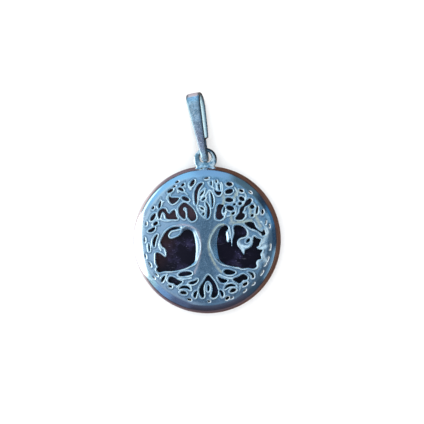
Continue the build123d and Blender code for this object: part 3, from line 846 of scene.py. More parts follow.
def lathe_piece(name, profile, count, sharp=35):
    """A closed turned piece. The profile starts and ends on the axis."""
    rings = lathe_rings(profile[1:-1], count)
    bottom = np.array([[0.0, 0.0, profile[0][1]]])
    top = np.array([[0.0, 0.0, profile[-1][1]]])
    faces = [(0, 1 + k, 1 + (k + 1) % count) for k in range(count)]
    for i in range(1, len(rings)):
        faces += ring_faces(1 + i * count, 1 + (i - 1) * count, count)
    last = 1 + (len(rings) - 1) * count
    faces += [(last + count, last + (k + 1) % count, last + k) for k in range(count)]
    return mesh_piece(name, np.concatenate([bottom] + rings + [top]), faces, sharp)


def stone_piece():
    """The dark stone: a cabochon that follows the underside of the front."""
    inset = wall + seat_gap
    side = disc_radius - inset
    base = back_thickness + seat_gap
    across = np.linspace(0, (dome_radius - inset) * dome_share, 30)
    rows = list(zip(across.tolist(), surface_height(across, inset).tolist()))
    start = math.degrees(math.asin(dome_share))
    rows += arc_rows(shoulder_centre, shoulder_height, shoulder_radius - inset, start, 90, 12)[1:]
    corner = side - stone_edge_round
    rows += arc_rows(corner, base + stone_edge_round, stone_edge_round, 90, 180, 6)
    rows += [(8.0, base), (4.0, base), (0.0, base)]
    return lathe_piece("dark_stone", rows, 180)


def back_piece():
    """The closing plate."""
    side = pocket_radius - seat_gap
    rows = [(radius, back_thickness) for radius in (0.0, 3.0, 6.0, 9.0, side - inner_chamfer)]
    rows += [(side, back_thickness - inner_chamfer), (side, back_plate_chamfer)]
    rows += [(side - back_plate_chamfer, 0.0)]
    rows += [(radius, 0.0) for radius in (10.0, 8.0, 6.0, 4.0, 2.0, 0.0)]
    return lathe_piece("silver_back", rows, 240, 30)


# The bail as it lies: the directions along it, across it and through its depth, and the
# middle of the wire that it hangs on.
lean_turn = math.radians(bail_lean)
roll_turn = math.radians(bail_roll)
bail_along = Vector((-math.sin(lean_turn), math.cos(lean_turn), 0.0))
bail_across = Vector((math.cos(lean_turn), math.sin(lean_turn), 0.0))
bail_aside = math.cos(roll_turn) * bail_across + math.sin(roll_turn) * Vector((0.0, 0.0, 1.0))
bail_depth = bail_aside.cross(bail_along)
eye_centre = Vector((eye_shift, disc_radius + eye_reach, eye_height))
wire_middle = (eye_radius + eye_hole_offset + eye_hole_radius) / 2
pivot = eye_centre + wire_middle * bail_along


def rounded_section(half_width, half_depth, corner, crown, steps=5, spans=6):
    """A rounded rectangle, counter-clockwise, whose outer side stands up by the crown."""
    points = []
    corners = [(1, 1, 0), (-1, 1, 90), (-1, -1, 180), (1, -1, 270)]
    for side, level, turn in corners:
        for k in range(steps):
            angle = math.radians(turn + 90 * k / (steps - 1))
            points.append((
                side * (half_width - corner) + corner * math.cos(angle),
                level * (half_depth - crown / 2 - corner) + corner * math.sin(angle),
            ))
        if turn in (0, 180):
            reach = half_width - corner
            for k in range(1, spans):
                share = 1 - 2 * k / spans
                points.append((side * reach * share, level * (half_depth - crown / 2)))
    lifted = []
    for across, depth in points:
        share = across / half_width
        lifted.append((across, depth + crown / 2 * (1 - 2 * share * share) * (1 if depth > 0 else 0)))
    return lifted


def teardrop_path(inset):
    """Places along the bail and in its depth round its loop, from the tongue's tip up the front."""
    small = bail_tongue_depth / 2 - inset
    large = bail_top_depth / 2 - inset
    low = bail_tongue_depth / 2 - bail_tongue_drop
    high = bail_length - bail_tongue_drop - bail_top_depth / 2
    flare = math.asin((large - small) / (high - low))
    foot = math.pi / 2 + flare
    turn = np.linspace(math.pi, foot, 12, endpoint=False)
    tip = np.stack([low + small * np.cos(turn), small * np.sin(turn)], 1)
    share = np.linspace(0, 1, 56, endpoint=False)
    radius = small + (large - small) * share
    centre = low + (high - low) * share
    leg = np.stack([centre + radius * math.cos(foot), radius * math.sin(foot)], 1)
    turn = np.linspace(foot, -foot, 40, endpoint=False)
    top = np.stack([high + large * np.cos(turn), large * np.sin(turn)], 1)
    front = np.concatenate([tip, leg])
    back = np.concatenate([front[1:], top[:1]])[::-1] * (1, -1)
    return np.concatenate([front, top, back])


# The seam where the back leg ends, the back leg's own widths, and the strap's rounding.
seam_at = 1.85
seam_half = 0.12
seam_cut = 0.07
seam_dark = 0.16
back_leg_bulge = 0.42
back_tongue_width = 1.0
strap_corner = 0.26
strap_crown = 0.10


def clamped(value):
    """The value, held between 0 and 1."""
    return min(max(value, 0.0), 1.0)


def strap_width(along, on_back):
    """Width of the strap at a place along the bail, on its front or its back leg."""
    share = (along + bail_tongue_drop) / bail_length
    width = bail_tongue_width + (bail_top_width - bail_tongue_width) * share
    if not on_back:
        return width
    wide = min(width + back_leg_bulge * math.sin(math.pi * clamped(share)), bail_top_width)
    narrow = min(back_tongue_width, width)
    return narrow + (wide - narrow) * clamped((along - seam_at) / seam_half)


def bail_piece():
    """The bail: a strap folded into a loop, with the seam where its back leg ends."""
    path = teardrop_path(bail_strap / 2)
    heading = np.roll(path, -1, axis=0) - np.roll(path, 1, axis=0)
    heading /= np.linalg.norm(heading, axis=1)[:, None]
    turned_over = int(np.argmax(path[:, 0]))
    points = []
    marks = {"polish_and_highlight": [], "inner": [], "height": [], "seam": []}
    for i, ((along, depth), (ahead, rise)) in enumerate(zip(path, heading)):
        on_back = i > turned_over
        half = strap_width(along, on_back) / 2
        thick = bail_strap / 2
        if on_back and abs(along - seam_at) < seam_half:
            thick -= seam_cut
        section = rounded_section(half, thick, strap_corner, strap_crown)
        for across, lift in section:
            lifted = bail_along * (along - rise * lift) + bail_depth * (depth + ahead * lift)
            points.append(tuple(pivot + bail_aside * across + lifted))
            marks["polish_and_highlight"].append(clamped((abs(across) / half - 0.70) / 0.12))
            marks["inner"].append(float(lift < 0 and along > seam_at))
            marks["height"].append((along + bail_tongue_drop) / bail_length)
            marks["seam"].append(float(on_back and abs(along - seam_at) < seam_dark))
    made = mesh_piece("silver_bail", points, tube_faces(len(path), len(section), True), 60)
    for name, values in marks.items():
        vertex_attribute(made, name, values)
    return made


def ring_points():
    """The eye's ring: its sections run from the off-centre hole to the outer circle."""
    points = []
    outer = Vector((eye_shift, disc_radius + eye_reach))
    to_hole = Vector((0.0, eye_hole_offset))
    hole = outer + to_hole
    count = 72
    for i in range(count):
        angle = 2 * math.pi * i / count
        ray = Vector((math.cos(angle), math.sin(angle)))
        near = eye_hole_radius - eye_fill * (1 - max(ray.y, 0.0))
        along = to_hole.dot(ray)
        far = math.sqrt(along ** 2 - to_hole.dot(to_hole) + eye_radius ** 2) - along
        section = rounded_section((far - near) / 2, eye_thickness / 2, 0.26, 0.0, 6, 2)
        for across, lift in section:
            place = hole + ray * ((near + far) / 2 + across)
            points.append((place.x, place.y, eye_height + lift))
    return points, count


def tube_faces(count, size, closed):
    """Quads along a row of sections of the same size."""
    faces = []
    for i in range(count if closed else count - 1):
        a = i * size
        b = (i + 1) % count * size
        faces += [(a + k, b + k, b + (k + 1) % size, a + (k + 1) % size) for k in range(size)]
    if not closed:
        faces.append(tuple(range(size)))
        faces.append(tuple(range((count - 1) * size, count * size))[::-1])
    return faces


# The solder starts sunk in the front's wall. It narrows and thins out towards the eye.
solder_sunk = 0.55
solder_length = 1.15
solder_wide = 1.75
solder_narrower = 0.80
solder_thick = 0.62
solder_thinner = 0.20
solder_square = 0.75
solder_straight = 0.28
solder_flare = 2.2


def solder_points(rows, size):
    """The solder: broad against the disc's wall, then narrowing to the eye."""
    points = []
    for share in np.linspace(0, 1, rows).tolist():
        up = disc_radius - solder_sunk + solder_length * share
        left = 1 - max(0.0, (share - solder_straight) / (1 - solder_straight))
        half = solder_wide - solder_narrower * (1 - left ** solder_flare)
        thick = solder_thick - solder_thinner * (1 - left ** 2)
        for k in range(size):
            angle = 2 * math.pi * k / size
            c, s = math.cos(angle), math.sin(angle)
            across = half * math.copysign(abs(c) ** solder_square, c)
            lift = thick * math.copysign(abs(s) ** solder_square, s)
            points.append((eye_shift + across, up, eye_height + lift))
    return points


def eye_piece():
    """The eye and its solder, melted into one smooth mesh."""
    ring, count = ring_points()
    rows, size = 12, 28
    faces = tube_faces(count, len(ring) // count, True)
    faces += [tuple(len(ring) + v for v in f) for f in tube_faces(rows, size, False)]
    mesh = bpy.data.meshes.new("silver_eye")
    mesh.from_pydata(ring + solder_points(rows, size), [], faces)
    made = linked("silver_eye", mesh)
    remesh = made.modifiers.new("melt", "REMESH")
    remesh.mode = "VOXEL"
    remesh.voxel_size = eye_voxel
    smooth = made.modifiers.new("smooth", "SMOOTH")
    smooth.factor = 0.5
    smooth.iterations = 6
    ready = made.evaluated_get(bpy.context.evaluated_depsgraph_get())
    melted = bpy.data.meshes.new_from_object(ready)
    made.modifiers.clear()
    made.data = melted
    melted.transform(Matrix.Scale(MM, 4))
    melted.shade_smooth()
    return made


class Nodes:
    """Adds shader nodes to one tree and links them. In a material, noise scales are per metre."""

    def __init__(self, tree):
        self.tree = tree
        tree.nodes.clear()

    def add(self, kind, inputs=(), **settings):
        node = self.tree.nodes.new(kind)
        for name, value in settings.items():
            setattr(node, name, value)
        for key, value in dict(inputs).items():
            self.put(node.inputs[key], value)
        return node

    def put(self, socket, value):
        """Links the value's socket, or sets a plain value. Colours are given without alpha."""
        if isinstance(value, bpy.types.NodeSocket):
            self.tree.links.new(value, socket)
        else:
            socket.default_value = (*value, 1.0) if socket.type == "RGBA" else value

    def math(self, operation, first, second=0.0, clamp=False):
        node = self.add("ShaderNodeMath", {0: first, 1: second}, operation=operation, use_clamp=clamp)
        return node.outputs[0]

    def times(self, first, second):
        return self.math("MULTIPLY", first, second)

    def plus(self, first, second):
        return self.math("ADD", first, second)

    def less(self, first, second, clamp=False):
        return self.math("SUBTRACT", first, second, clamp)

    def larger(self, first, second):
        return self.math("MAXIMUM", first, second)

    def length(self, first, second):
        squares = self.plus(self.times(first, first), self.times(second, second))
        return self.math("SQRT", squares)

    def dot(self, first, second):
        node = self.add("ShaderNodeVectorMath", {0: first, 1: second}, operation="DOT_PRODUCT")
        return node.outputs["Value"]

    def axes(self, vector):
        split = self.add("ShaderNodeSeparateXYZ", {0: vector})
        return split.outputs["X"], split.outputs["Y"], split.outputs["Z"]

    def span(self, value, low, high, start=0.0, stop=1.0, kind="SMOOTHSTEP"):
        node = self.add("ShaderNodeMapRange", {0: value}, interpolation_type=kind)
        for key, put in (("From Min", low), ("From Max", high), ("To Min", start), ("To Max", stop)):
            self.put(node.inputs[key], put)
        return node.outputs["Result"]

    def noise(self, where, scale, detail=4.0, rough=0.55, distortion=0.0):
        node = self.add("ShaderNodeTexNoise", {"Vector": where, "Scale": scale, "Detail": detail})
        self.put(node.inputs["Roughness"], rough)
        self.put(node.inputs["Distortion"], distortion)
        return node.outputs["Fac"]

    def mix(self, share, first, second):
        node = self.add("ShaderNodeMix", data_type="RGBA")
        for key, put in ((0, share), (6, first), (7, second)):
            self.put(node.inputs[key], put)
        return node.outputs[2]

    def layers(self, seen, rows):
        """A colour with others laid over it in turn, each by its share."""
        for share, over in rows:
            seen = self.mix(share, seen, over)
        return seen

    def place(self, stretch=(1.0, 1.0, 1.0), turn=(0.0, 0.0, 0.0)):
        where = self.add("ShaderNodeTexCoord").outputs["Object"]
        mapping = self.add("ShaderNodeMapping", {"Vector": where, "Scale": stretch, "Rotation": turn})
        return mapping.outputs[0]

    def attribute(self, name):
        return self.add("ShaderNodeAttribute", attribute_name=name).outputs["Fac"]


class Surface(Nodes):
    """A new material with its surface shader, and the place that its textures read."""

    def __init__(self, name):
        self.material = bpy.data.materials.new(name)
        self.material.use_nodes = True
        super().__init__(self.material.node_tree)
        self.shader = self.add("ShaderNodeBsdfPrincipled")
        self.add("ShaderNodeOutputMaterial", {0: self.shader.outputs[0]})
        self.where = self.place()

    def set(self, name, value):
        self.put(self.shader.inputs[name], value)

    def bump(self, height, strength, depth):
        """Relief of the surface, its depth in millimetres."""
        settings = {"Height": height, "Strength": strength, "Distance": depth * MM}
        self.set("Normal", self.add("ShaderNodeBump", settings).outputs[0])

    def scratches(self, scale, turn, thin):
        """Fine straight scratches as a mask from 0 to 1."""
        lines = self.noise(self.place((1.0, 14.0, 1.0), (0.0, 0.0, turn)), scale, 2.0, 0.5, 0.4)
        broken = self.noise(self.where, scale * 0.35, 2.0)
        return self.times(self.span(lines, thin, thin + 0.05), self.span(broken, 0.48, 0.62))


def front_field(look, across, up, speck):
    """Colour of the flat metal: cloudy and blue, with painted reflection that makes it darker on the trunk
    and low down and paler at the left, and painted shade beside its edges and lines.
    """
    cloud = look.noise(look.where, 260.0, 4.0)
    fine = look.noise(look.where, 1500.0, 3.0, 0.6)
    # Painted reflection: paler at the left, where the bright window is mirrored, and darker on the trunk
    # and low down.
    left = look.span(across, -0.10 * disc_m, -0.60 * disc_m, 0.0, 0.55)
    beside = look.span(look.math("ABSOLUTE", across), 0.26 * disc_m, 0.04 * disc_m)
    trunk = look.times(beside, look.span(up, 0.62 * disc_m, 0.30 * disc_m))
    low = look.span(up, -0.50 * disc_m, -0.72 * disc_m, 0.0, 0.35)
    # The blue tint of the metal is a painted reflection of the blue sky.
    cloudy = look.mix(look.span(cloud, 0.35, 0.65), (0.47, 0.61, 0.71), (0.68, 0.83, 0.95))
    return look.layers(cloudy, [
        (left, (0.88, 0.96, 1.00)),
        (look.times(trunk, 0.85), (0.27, 0.34, 0.38)),
        (low, (0.34, 0.40, 0.50)),
        (look.span(fine, 0.35, 0.70, 0.0, 0.30), (0.92, 0.98, 1.00)),
        (look.span(speck, 0.54, 0.70, 0.0, 0.8), (0.90, 0.94, 0.96)),
        # Painted shade beside the edges and lines.
        (look.times(look.attribute("painted_edge_shade"), 0.80), (0.26, 0.34, 0.40)),
    ])


def front_flank(look, across, near_rim, side):
    """Colour of the rounded edges: a painted highlight on the lit side of the rim's slits, dim inside some
    gaps.
    """
    dim_left = look.span(across, 0.0, -0.04 * disc_m)
    dim_right = look.span(across, 0.20 * disc_m, 0.26 * disc_m)
    dim = look.less(look.larger(dim_left, dim_right), near_rim, True)
    inside = look.mix(dim, (0.60, 0.82, 0.95), (0.48, 0.62, 0.70))
    # Painted highlight: the rim slits' edges are pale on their lit side and darker on the other.
    at_rim = look.mix(side, (0.46, 0.60, 0.70), (0.94, 1.00, 1.00))
    return look.mix(near_rim, inside, at_rim)


def front_material():
    """Satin silver in the plate, polished on the shoulder, with painted highlights on its edges and lips.
    """
    look = Surface("front_silver")
    across, up, _ = look.axes(look.where)
    radius = look.length(across, up)
    polish_and_highlight = look.attribute("polish_and_highlight")
    slope = look.attribute("slope")
    side = look.span(look.attribute("side"), 0.10, 0.50)
    shoulder = look.span(radius, 0.835 * disc_m, 0.875 * disc_m)
    near_rim = look.span(radius, 0.765 * disc_m, 0.80 * disc_m)
    speck = look.noise(look.where, 9000.0, 2.0)
    to_right = look.span(across, -0.15 * disc_m, 0.45 * disc_m)
    patchy = look.span(look.noise(look.where, 2300.0, 3.0, 0.6), 0.30, 0.60, 0.35, 1.0)
    residue = look.times(look.attribute("residue"), patchy)
    right_half = look.span(across, -0.02 * disc_m, 0.02 * disc_m)
    tint = look.mix(right_half, (0.42, 0.38, 0.48), (0.38, 0.46, 0.38))
    look.set("Base Color", look.layers(front_field(look, across, up, speck), [
        (shoulder, (0.92, 0.92, 0.93)),
        (slope, front_flank(look, across, near_rim, side)),
        # Painted highlight on the edges and lips.
        (polish_and_highlight, look.mix(to_right, (0.68, 0.92, 1.0), (0.66, 0.88, 0.98))),
        (look.times(residue, 0.85), tint),
    ]))
    # The painted highlights are made partly matt, so the white light makes them pale.
    highlight_matt = look.span(look.noise(look.where, 620.0, 2.0), 0.35, 0.62, 0.20, 0.64)
    matt = look.larger(look.times(polish_and_highlight, highlight_matt), look.times(residue, 0.55))
    # Painted highlight on the rim's flanks: less metallic on the lit side, more so towards the right, so
    # the white light makes them pale.
    facing = look.span(across, -0.20 * disc_m, 0.60 * disc_m, 0.40, 0.95)
    lit_flank = look.times(look.times(slope, near_rim), look.times(facing, side))
    look.set("Metallic", look.less(1.0, look.larger(matt, lit_flank)))
    grain = look.noise(look.where, 5200.0, 3.0)
    rough = look.span(grain, 0.3, 0.7, 0.16, 0.28, "LINEAR")
    rough = look.less(rough, look.times(shoulder, 0.10))
    look.set("Roughness", look.plus(rough, look.times(slope, 0.06)))
    mark = look.scratches(900.0, 0.6, 0.66)
    look.bump(look.plus(look.times(speck, 0.6), look.times(mark, -0.5)), 0.25, 0.03)
    return look.material


def bail_material():
    """Worn silver with a frosted, scratched face, a painted highlight on its inside and a painted
    reflection of the table on its top.
    """
    look = Surface("bail_silver")
    polish_and_highlight = look.attribute("polish_and_highlight")
    inner = look.attribute("inner")
    height = look.attribute("height")
    upper = look.span(height, 0.30, 0.75)
    tip = look.span(height, 0.905, 0.935)
    tongue = look.span(height, 0.24, 0.08)
    cloud = look.noise(look.where, 1300.0, 3.0, 0.6)
    frost = look.noise(look.where, 7000.0, 2.0, 0.6)
    face = look.mix(upper, (0.30, 0.26, 0.31), (0.40, 0.53, 0.58))
    pale = look.mix(upper, (0.52, 0.50, 0.58), (0.74, 0.90, 0.96))
    look.set("Base Color", look.layers(face, [
        (look.span(cloud, 0.36, 0.64), pale),
        (look.times(tongue, 0.8), (0.62, 0.82, 0.88)),
        (look.span(frost, 0.50, 0.66, 0.0, 0.55), (0.94, 0.97, 1.00)),
        # Painted reflection of the brown table, pinkish, on the folded top.
        (tip, look.mix(frost, (0.40, 0.34, 0.40), (0.78, 0.76, 0.82))),
        # Painted highlight on the inside of the strap.
        (inner, (0.72, 0.92, 0.98)),
        (polish_and_highlight, (0.27, 0.35, 0.38)),
        (look.attribute("seam"), (0.06, 0.04, 0.04)),
    ]))
    matt = look.span(frost, 0.50, 0.68, 0.04, 0.26)
    # The painted top and inside are made partly matt, so they read paler.
    matt = look.larger(matt, look.times(tip, 0.6))
    matt = look.larger(matt, look.times(inner, 0.75))
    matt = look.times(matt, look.less(1.0, look.times(polish_and_highlight, 0.8)))
    look.set("Metallic", look.less(1.0, matt))
    look.set("Roughness", look.span(cloud, 0.3, 0.7, 0.30, 0.18, "LINEAR"))
    mark = look.scratches(1400.0, 1.4, 0.64)
    look.bump(look.less(frost, look.times(mark, 0.6)), 0.5, 0.04)
    return look.material


def eye_material():
    """The eye's silver, uneven from soldering, with painted shade as a dark border at its upper right."""
    look = Surface("eye_silver")
    cloud = look.noise(look.where, 1000.0, 3.0)
    x, y, _ = look.axes(look.where)
    aside = look.less(x, eye_shift * MM)
    above = look.less(y, (disc_radius + eye_reach) * MM)
    outer = look.length(aside, above)
    outward = look.span(outer, 0.74 * eye_radius * MM, 0.90 * eye_radius * MM)
    hole = look.length(aside, look.less(above, eye_hole_offset * MM))
    inward = look.span(hole, 1.22 * eye_hole_radius * MM, 1.04 * eye_hole_radius * MM)
    # Painted shade: the outer border and the hole's wall turn dark at the upper right.
    leaning = look.plus(look.times(aside, 0.62), look.times(above, 0.78))
    upper_right = look.span(leaning, 0.20 * eye_radius * MM, 0.75 * eye_radius * MM)
    dark = look.times(look.larger(outward, inward), upper_right)
    patch = look.span(cloud, 0.40, 0.60)
    silver = look.mix(patch, (0.42, 0.56, 0.60), (0.90, 1.00, 1.00))
    look.set("Base Color", look.mix(dark, silver, (0.05, 0.06, 0.07)))
    look.set("Metallic", look.larger(dark, look.span(cloud, 0.45, 0.65, 1.0, 0.72)))
    look.set("Roughness", look.span(cloud, 0.3, 0.7, 0.30, 0.14, "LINEAR"))
    look.bump(look.noise(look.where, 1700.0, 3.0, 0.6), 0.7, 0.22)
    return look.material


def back_material():
    """Satin silver with fine scratches, for the closing plate."""
    look = Surface("back_silver")
    cloud = look.noise(look.where, 180.0, 4.0)
    silver = look.mix(cloud, (0.60, 0.61, 0.64), (0.85, 0.85, 0.86))
    look.set("Base Color", silver)
    look.set("Metallic", 1.0)
    look.set("Roughness", look.span(cloud, 0.3, 0.7, 0.34, 0.24, "LINEAR"))
    marks = look.plus(look.scratches(700.0, 0.3, 0.62), look.scratches(1100.0, 2.2, 0.63))
    look.bump(look.less(look.noise(look.where, 7000.0, 2.0), marks), 0.3, 0.03)
    return look.material


def stone_material():
    """Near-black polished stone, with a painted brown reflection at the upper left, a violet haze and fine
    specks.
    """
    look = Surface("stone_dark")
    across, up, _ = look.axes(look.where)
    haze = look.noise(look.where, 330.0, 5.0, 0.6)
    speck = look.noise(look.where, 5200.0, 2.0, 0.6)
    violet = look.span(haze, 0.5, 0.72)
    # Painted reflection: brown towards the upper left.
    leaning = look.span(look.less(look.times(up, 0.45), across), 4.0 * MM, 9.5 * MM)
    brown = look.times(leaning, look.span(haze, 0.32, 0.55, 0.45, 1.0))
    to_left = look.span(across, 4.0 * MM, -1.5 * MM, 0.25, 1.0)
    crown = look.times(look.span(up, 2.2 * MM, 4.5 * MM), to_left)
    dots = look.times(look.span(speck, 0.66, 0.74), look.span(haze, 0.45, 0.65))
    mark = look.scratches(800.0, -0.6, 0.66)
    look.set("Base Color", look.layers((0.006, 0.004, 0.010), [
        (violet, (0.030, 0.026, 0.070)),
        (brown, (0.062, 0.026, 0.026)),
        (crown, (0.090, 0.052, 0.066)),
        (dots, (0.20, 0.20, 0.38)),
        (look.times(mark, 0.35), (0.35, 0.35, 0.45)),
    ]))
    look.set("Roughness", 0.14)
    look.set("Specular IOR Level", 0.22)
    look.bump(mark, 0.2, 0.02)
    return look.material


def floor_material():
    """Plain pale matt surface with the faintest grain."""
    look = Surface("pale_floor")
    grain = look.noise(look.where, 60.0, 3.0)
    pale = look.mix(grain, (0.93, 0.93, 0.93), (0.95, 0.95, 0.95))
    look.set("Base Color", pale)
    look.set("Roughness", 0.9)
    look.set("Specular IOR Level", 0.0)
    return look.material


# What polished metal sees round the pendant. Each patch of the room spans an azimuth from
# +X towards +Y and a band of elevation, in degrees, with soft borders.
Patch = namedtuple("Patch", "azimuth half soft low high fade colour")
overhead_left = (0.290, 0.450, 0.640)
overhead_top = (0.200, 0.420, 0.640)
overhead_middle = (0.093, 0.206, 0.350)
overhead_right = (0.142, 0.264, 0.395)
beyond_right = (0.050, 0.110, 0.180)
table_pale = (0.240, 0.185, 0.225)
table_light = (0.150, 0.078, 0.055)
table_dark = (0.088, 0.046, 0.036)
table_near = (0.110, 0.080, 0.098)
horizon_colour = (0.022, 0.020, 0.028)
mottled_dark = (0.030, 0.038, 0.070)
horizon_level = -12.1
horizon_across = 10.4
horizon_up = 5.7
SKY_PATCHES = [
    Patch(122, 22, 14, 8, 56, 12, (0.25, 0.60, 0.97)),
    Patch(88, 10, 12, 6, 50, 14, (0.180, 0.400, 0.700)),
    Patch(50, 16, 10, 4, 52, 14, (0.058, 0.130, 0.190)),
    Patch(34, 7, 4, 2, 42, 8, (0.008, 0.030, 0.065)),
    Patch(20, 8, 5, 6, 26, 8, (0.030, 0.150, 0.330)),
    Patch(2, 8, 5, 2, 36, 10, (0.012, 0.050, 0.110)),
    Patch(-22, 12, 5, 7, 26, 6, (0.110, 0.260, 0.430)),
    Patch(-24, 15, 4, 5, 9, 2, (0.42, 0.62, 0.78)),
    Patch(-48, 11, 4, 2, 44, 10, (0.018, 0.060, 0.110)),
    Patch(-86, 26, 8, 2, 44, 12, (0.048, 0.066, 0.120)),
    Patch(-86, 24, 10, 2, 22, 12, (0.038, 0.040, 0.068)),
    Patch(-118, 8, 6, 2, 54, 12, (0.090, 0.140, 0.270)),
    Patch(-137, 8, 8, 12, 50, 12, (0.210, 0.420, 0.780)),
    Patch(-148, 5, 7, 8, 46, 12, (0.450, 0.820, 1.000)),
]
# The bright windows are ovals: centre and half size, in degrees, and a soft border.
Window = namedtuple("Window", "azimuth elevation half_turn half_height soft colour")
WINDOWS = [
    Window(165, 45, 46, 10, 0.55, (0.42, 0.64, 0.82)),
    Window(152, -1, 18, 8, 0.35, (1.2, 1.8, 1.95)),
    Window(174, -60, 42, 42, 0.30, (0.80, 0.70, 0.72)),
    Window(184, -7, 25, 46, 0.16, (2.3, 2.6, 2.75)),
]


def turn_from(nodes, direction, azimuth):
    """How far a direction is turned from an azimuth, in radians."""
    angle = math.radians(azimuth)
    ahead = nodes.dot(direction, (math.cos(angle), math.sin(angle), 0.0))
    aside = nodes.dot(direction, (-math.sin(angle), math.cos(angle), 0.0))
    return nodes.math("ABSOLUTE", nodes.math("ARCTAN2", aside, ahead))


def window_share(nodes, direction, elevation, window):
    """How much of a direction an oval window covers."""
    turn = turn_from(nodes, direction, window.azimuth)
    aside = nodes.math("DIVIDE", turn, math.radians(window.half_turn))
    above = nodes.less(elevation, math.radians(window.elevation))
    above = nodes.math("DIVIDE", above, math.radians(window.half_height))
    return nodes.span(nodes.length(aside, above), 1 + window.soft, 1 - window.soft)


def patch_share(nodes, direction, elevation, patch):
    """How much of a direction a patch covers."""
    turn = turn_from(nodes, direction, patch.azimuth)
    within = nodes.span(turn, math.radians(patch.half + patch.soft), math.radians(patch.half))
    above = nodes.span(elevation, math.radians(patch.low - patch.fade), math.radians(patch.low))
    under = nodes.span(elevation, math.radians(patch.high + patch.fade), math.radians(patch.high))
    return nodes.times(within, nodes.times(above, under))


def sky(nodes, direction, above, right, up):
    """The room above the horizon: the ceiling's tones, its patches and a mottled near side."""
    seen = nodes.layers(overhead_middle, [
        (nodes.span(right, 0.06, 0.24), overhead_right),
        (nodes.span(right, 0.26, 0.45), beyond_right),
        (nodes.span(up, 0.08, 0.30), overhead_top),
        (nodes.span(right, -0.02, -0.24), overhead_left),
    ])
    for patch in SKY_PATCHES:
        seen = nodes.mix(patch_share(nodes, direction, above, patch), seen, patch.colour)
    mottled = nodes.span(nodes.noise(direction, 26.0, 3.0, 0.65), 0.42, 0.60, 0.0, 0.55)
    return nodes.mix(nodes.times(mottled, nodes.span(up, -0.25, -0.55)), seen, mottled_dark)


def table(nodes, direction, right, up):
    """The brown table below the horizon, paler at the left and bluer at the near side."""
    grain = nodes.noise(direction, 5.0, 4.0)
    return nodes.layers(table_dark, [
        (nodes.span(grain, 0.4, 0.62), table_light),
        (nodes.span(right, 0.15, -0.45), table_pale),
        (nodes.span(up, -0.50, -0.80), table_near),
    ])


def room(scene):
    """White light for the matt surfaces, and the coloured surroundings that the metal mirrors."""
    world = bpy.data.worlds.new("room")
    scene.world = world
    world.use_nodes = True
    nodes = Nodes(world.node_tree)
    direction = nodes.add("ShaderNodeTexCoord").outputs["Generated"]
    right, up, height = nodes.axes(direction)
    elevation = nodes.math("ARCSINE", height)
    tilt_across = nodes.times(right, math.radians(horizon_across))
    tilt_up = nodes.times(up, math.radians(horizon_up))
    horizon = nodes.plus(nodes.plus(tilt_across, tilt_up), math.radians(horizon_level))
    above = nodes.less(elevation, horizon)
    seen = sky(nodes, direction, above, right, up)
    ragged = nodes.times(nodes.noise(direction, 16.0, 3.0), 0.16)
    above = nodes.less(nodes.plus(above, 0.08), ragged)
    seen = nodes.mix(nodes.span(above, 0.13, 0.02), seen, horizon_colour)
    seen = nodes.mix(nodes.span(above, -0.02, -0.07), seen, table(nodes, direction, right, up))
    for window in WINDOWS:
        seen = nodes.mix(window_share(nodes, direction, elevation, window), seen, window.colour)
    mirrored = nodes.add("ShaderNodeBackground", {"Color": seen, "Strength": 1.0}).outputs[0]
    white = {"Color": (1.0, 1.0, 1.0), "Strength": 1.45}
    plain = nodes.add("ShaderNodeBackground", white).outputs[0]
    glossy = nodes.add("ShaderNodeLightPath").outputs["Is Glossy Ray"]
    both = nodes.add("ShaderNodeMixShader", {0: glossy, 1: plain, 2: mirrored}).outputs[0]
    nodes.add("ShaderNodeOutputWorld", {0: both})


def floor_piece():
    """The plain pale surface that the pendant lies on."""
    half = 400.0
    corners = [(-half, -half, 0.0), (half, -half, 0.0), (half, half, 0.0), (-half, half, 0.0)]
    made = mesh_piece("floor", corners, [(0, 1, 2, 3)])
    made.visible_glossy = False
    made.data.materials.append(floor_material())
    return made


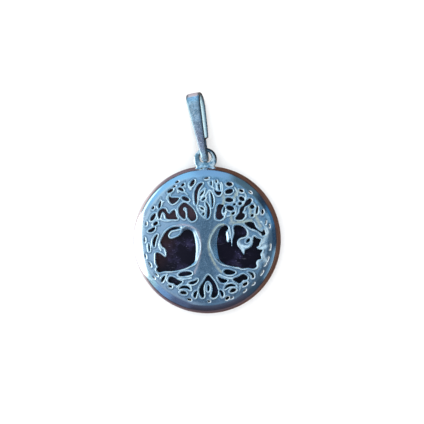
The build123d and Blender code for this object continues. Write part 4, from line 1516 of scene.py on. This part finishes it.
# The camera and the lamp are placed in metres.
camera_aim = Vector((0.85, 4.67, 2.5)) * MM
camera_distance = 0.2540
camera_field = 16.1
camera_to_right = 2.3
camera_down = 1.7
lamp_place = Vector((-0.35, 0.22, 0.55))


def camera_piece(scene):
    """The camera, nearly straight above the pendant. Its angles are in degrees."""
    data = bpy.data.cameras.new("camera")
    data.sensor_width = 36.0
    data.lens = 18.0 / math.tan(math.radians(camera_field) / 2)
    made = linked("camera", data)
    aside = math.tan(math.radians(camera_to_right))
    down = math.tan(math.radians(camera_down))
    back = Vector((aside, -down, 1.0)).normalized()
    right = Vector((0.0, 1.0, 0.0)).cross(back).normalized()
    turned = Matrix((right, back.cross(right), back)).transposed().to_4x4()
    made.matrix_world = Matrix.Translation(camera_aim + back * camera_distance) @ turned
    scene.camera = made


def soft_light():
    """One large soft lamp from the upper left."""
    data = bpy.data.lights.new("soft_light", "AREA")
    data.shape = "DISK"
    data.size = 0.5
    data.energy = 0.25
    made = linked("soft_light", data)
    made.location = lamp_place
    made.rotation_mode = "QUATERNION"
    made.rotation_quaternion = (-lamp_place).to_track_quat("-Z", "Y")
    made.visible_glossy = False


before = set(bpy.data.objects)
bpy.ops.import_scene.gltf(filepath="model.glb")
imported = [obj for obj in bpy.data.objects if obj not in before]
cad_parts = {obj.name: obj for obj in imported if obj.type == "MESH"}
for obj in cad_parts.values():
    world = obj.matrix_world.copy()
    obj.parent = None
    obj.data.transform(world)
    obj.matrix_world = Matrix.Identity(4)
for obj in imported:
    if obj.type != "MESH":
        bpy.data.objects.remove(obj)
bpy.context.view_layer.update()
scene = bpy.context.scene
scene.view_settings.view_transform = "Standard"

front = front_piece()
front.data.materials.append(front_material())
eye = eye_piece()
eye.data.materials.append(eye_material())
stone = stone_piece()
stone.data.materials.append(stone_material())
back = back_piece()
back.data.materials.append(back_material())
bail = bail_piece()
bail.data.materials.append(bail_material())

for piece in (front, eye, stone, back):
    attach(piece, "pendant")
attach(bail, "bail")
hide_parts("tree_front")
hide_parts("tree_front")
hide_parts("stone")
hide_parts("back_plate")
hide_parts("bail")

floor = floor_piece()
room(scene)
soft_light()
camera_piece(scene)
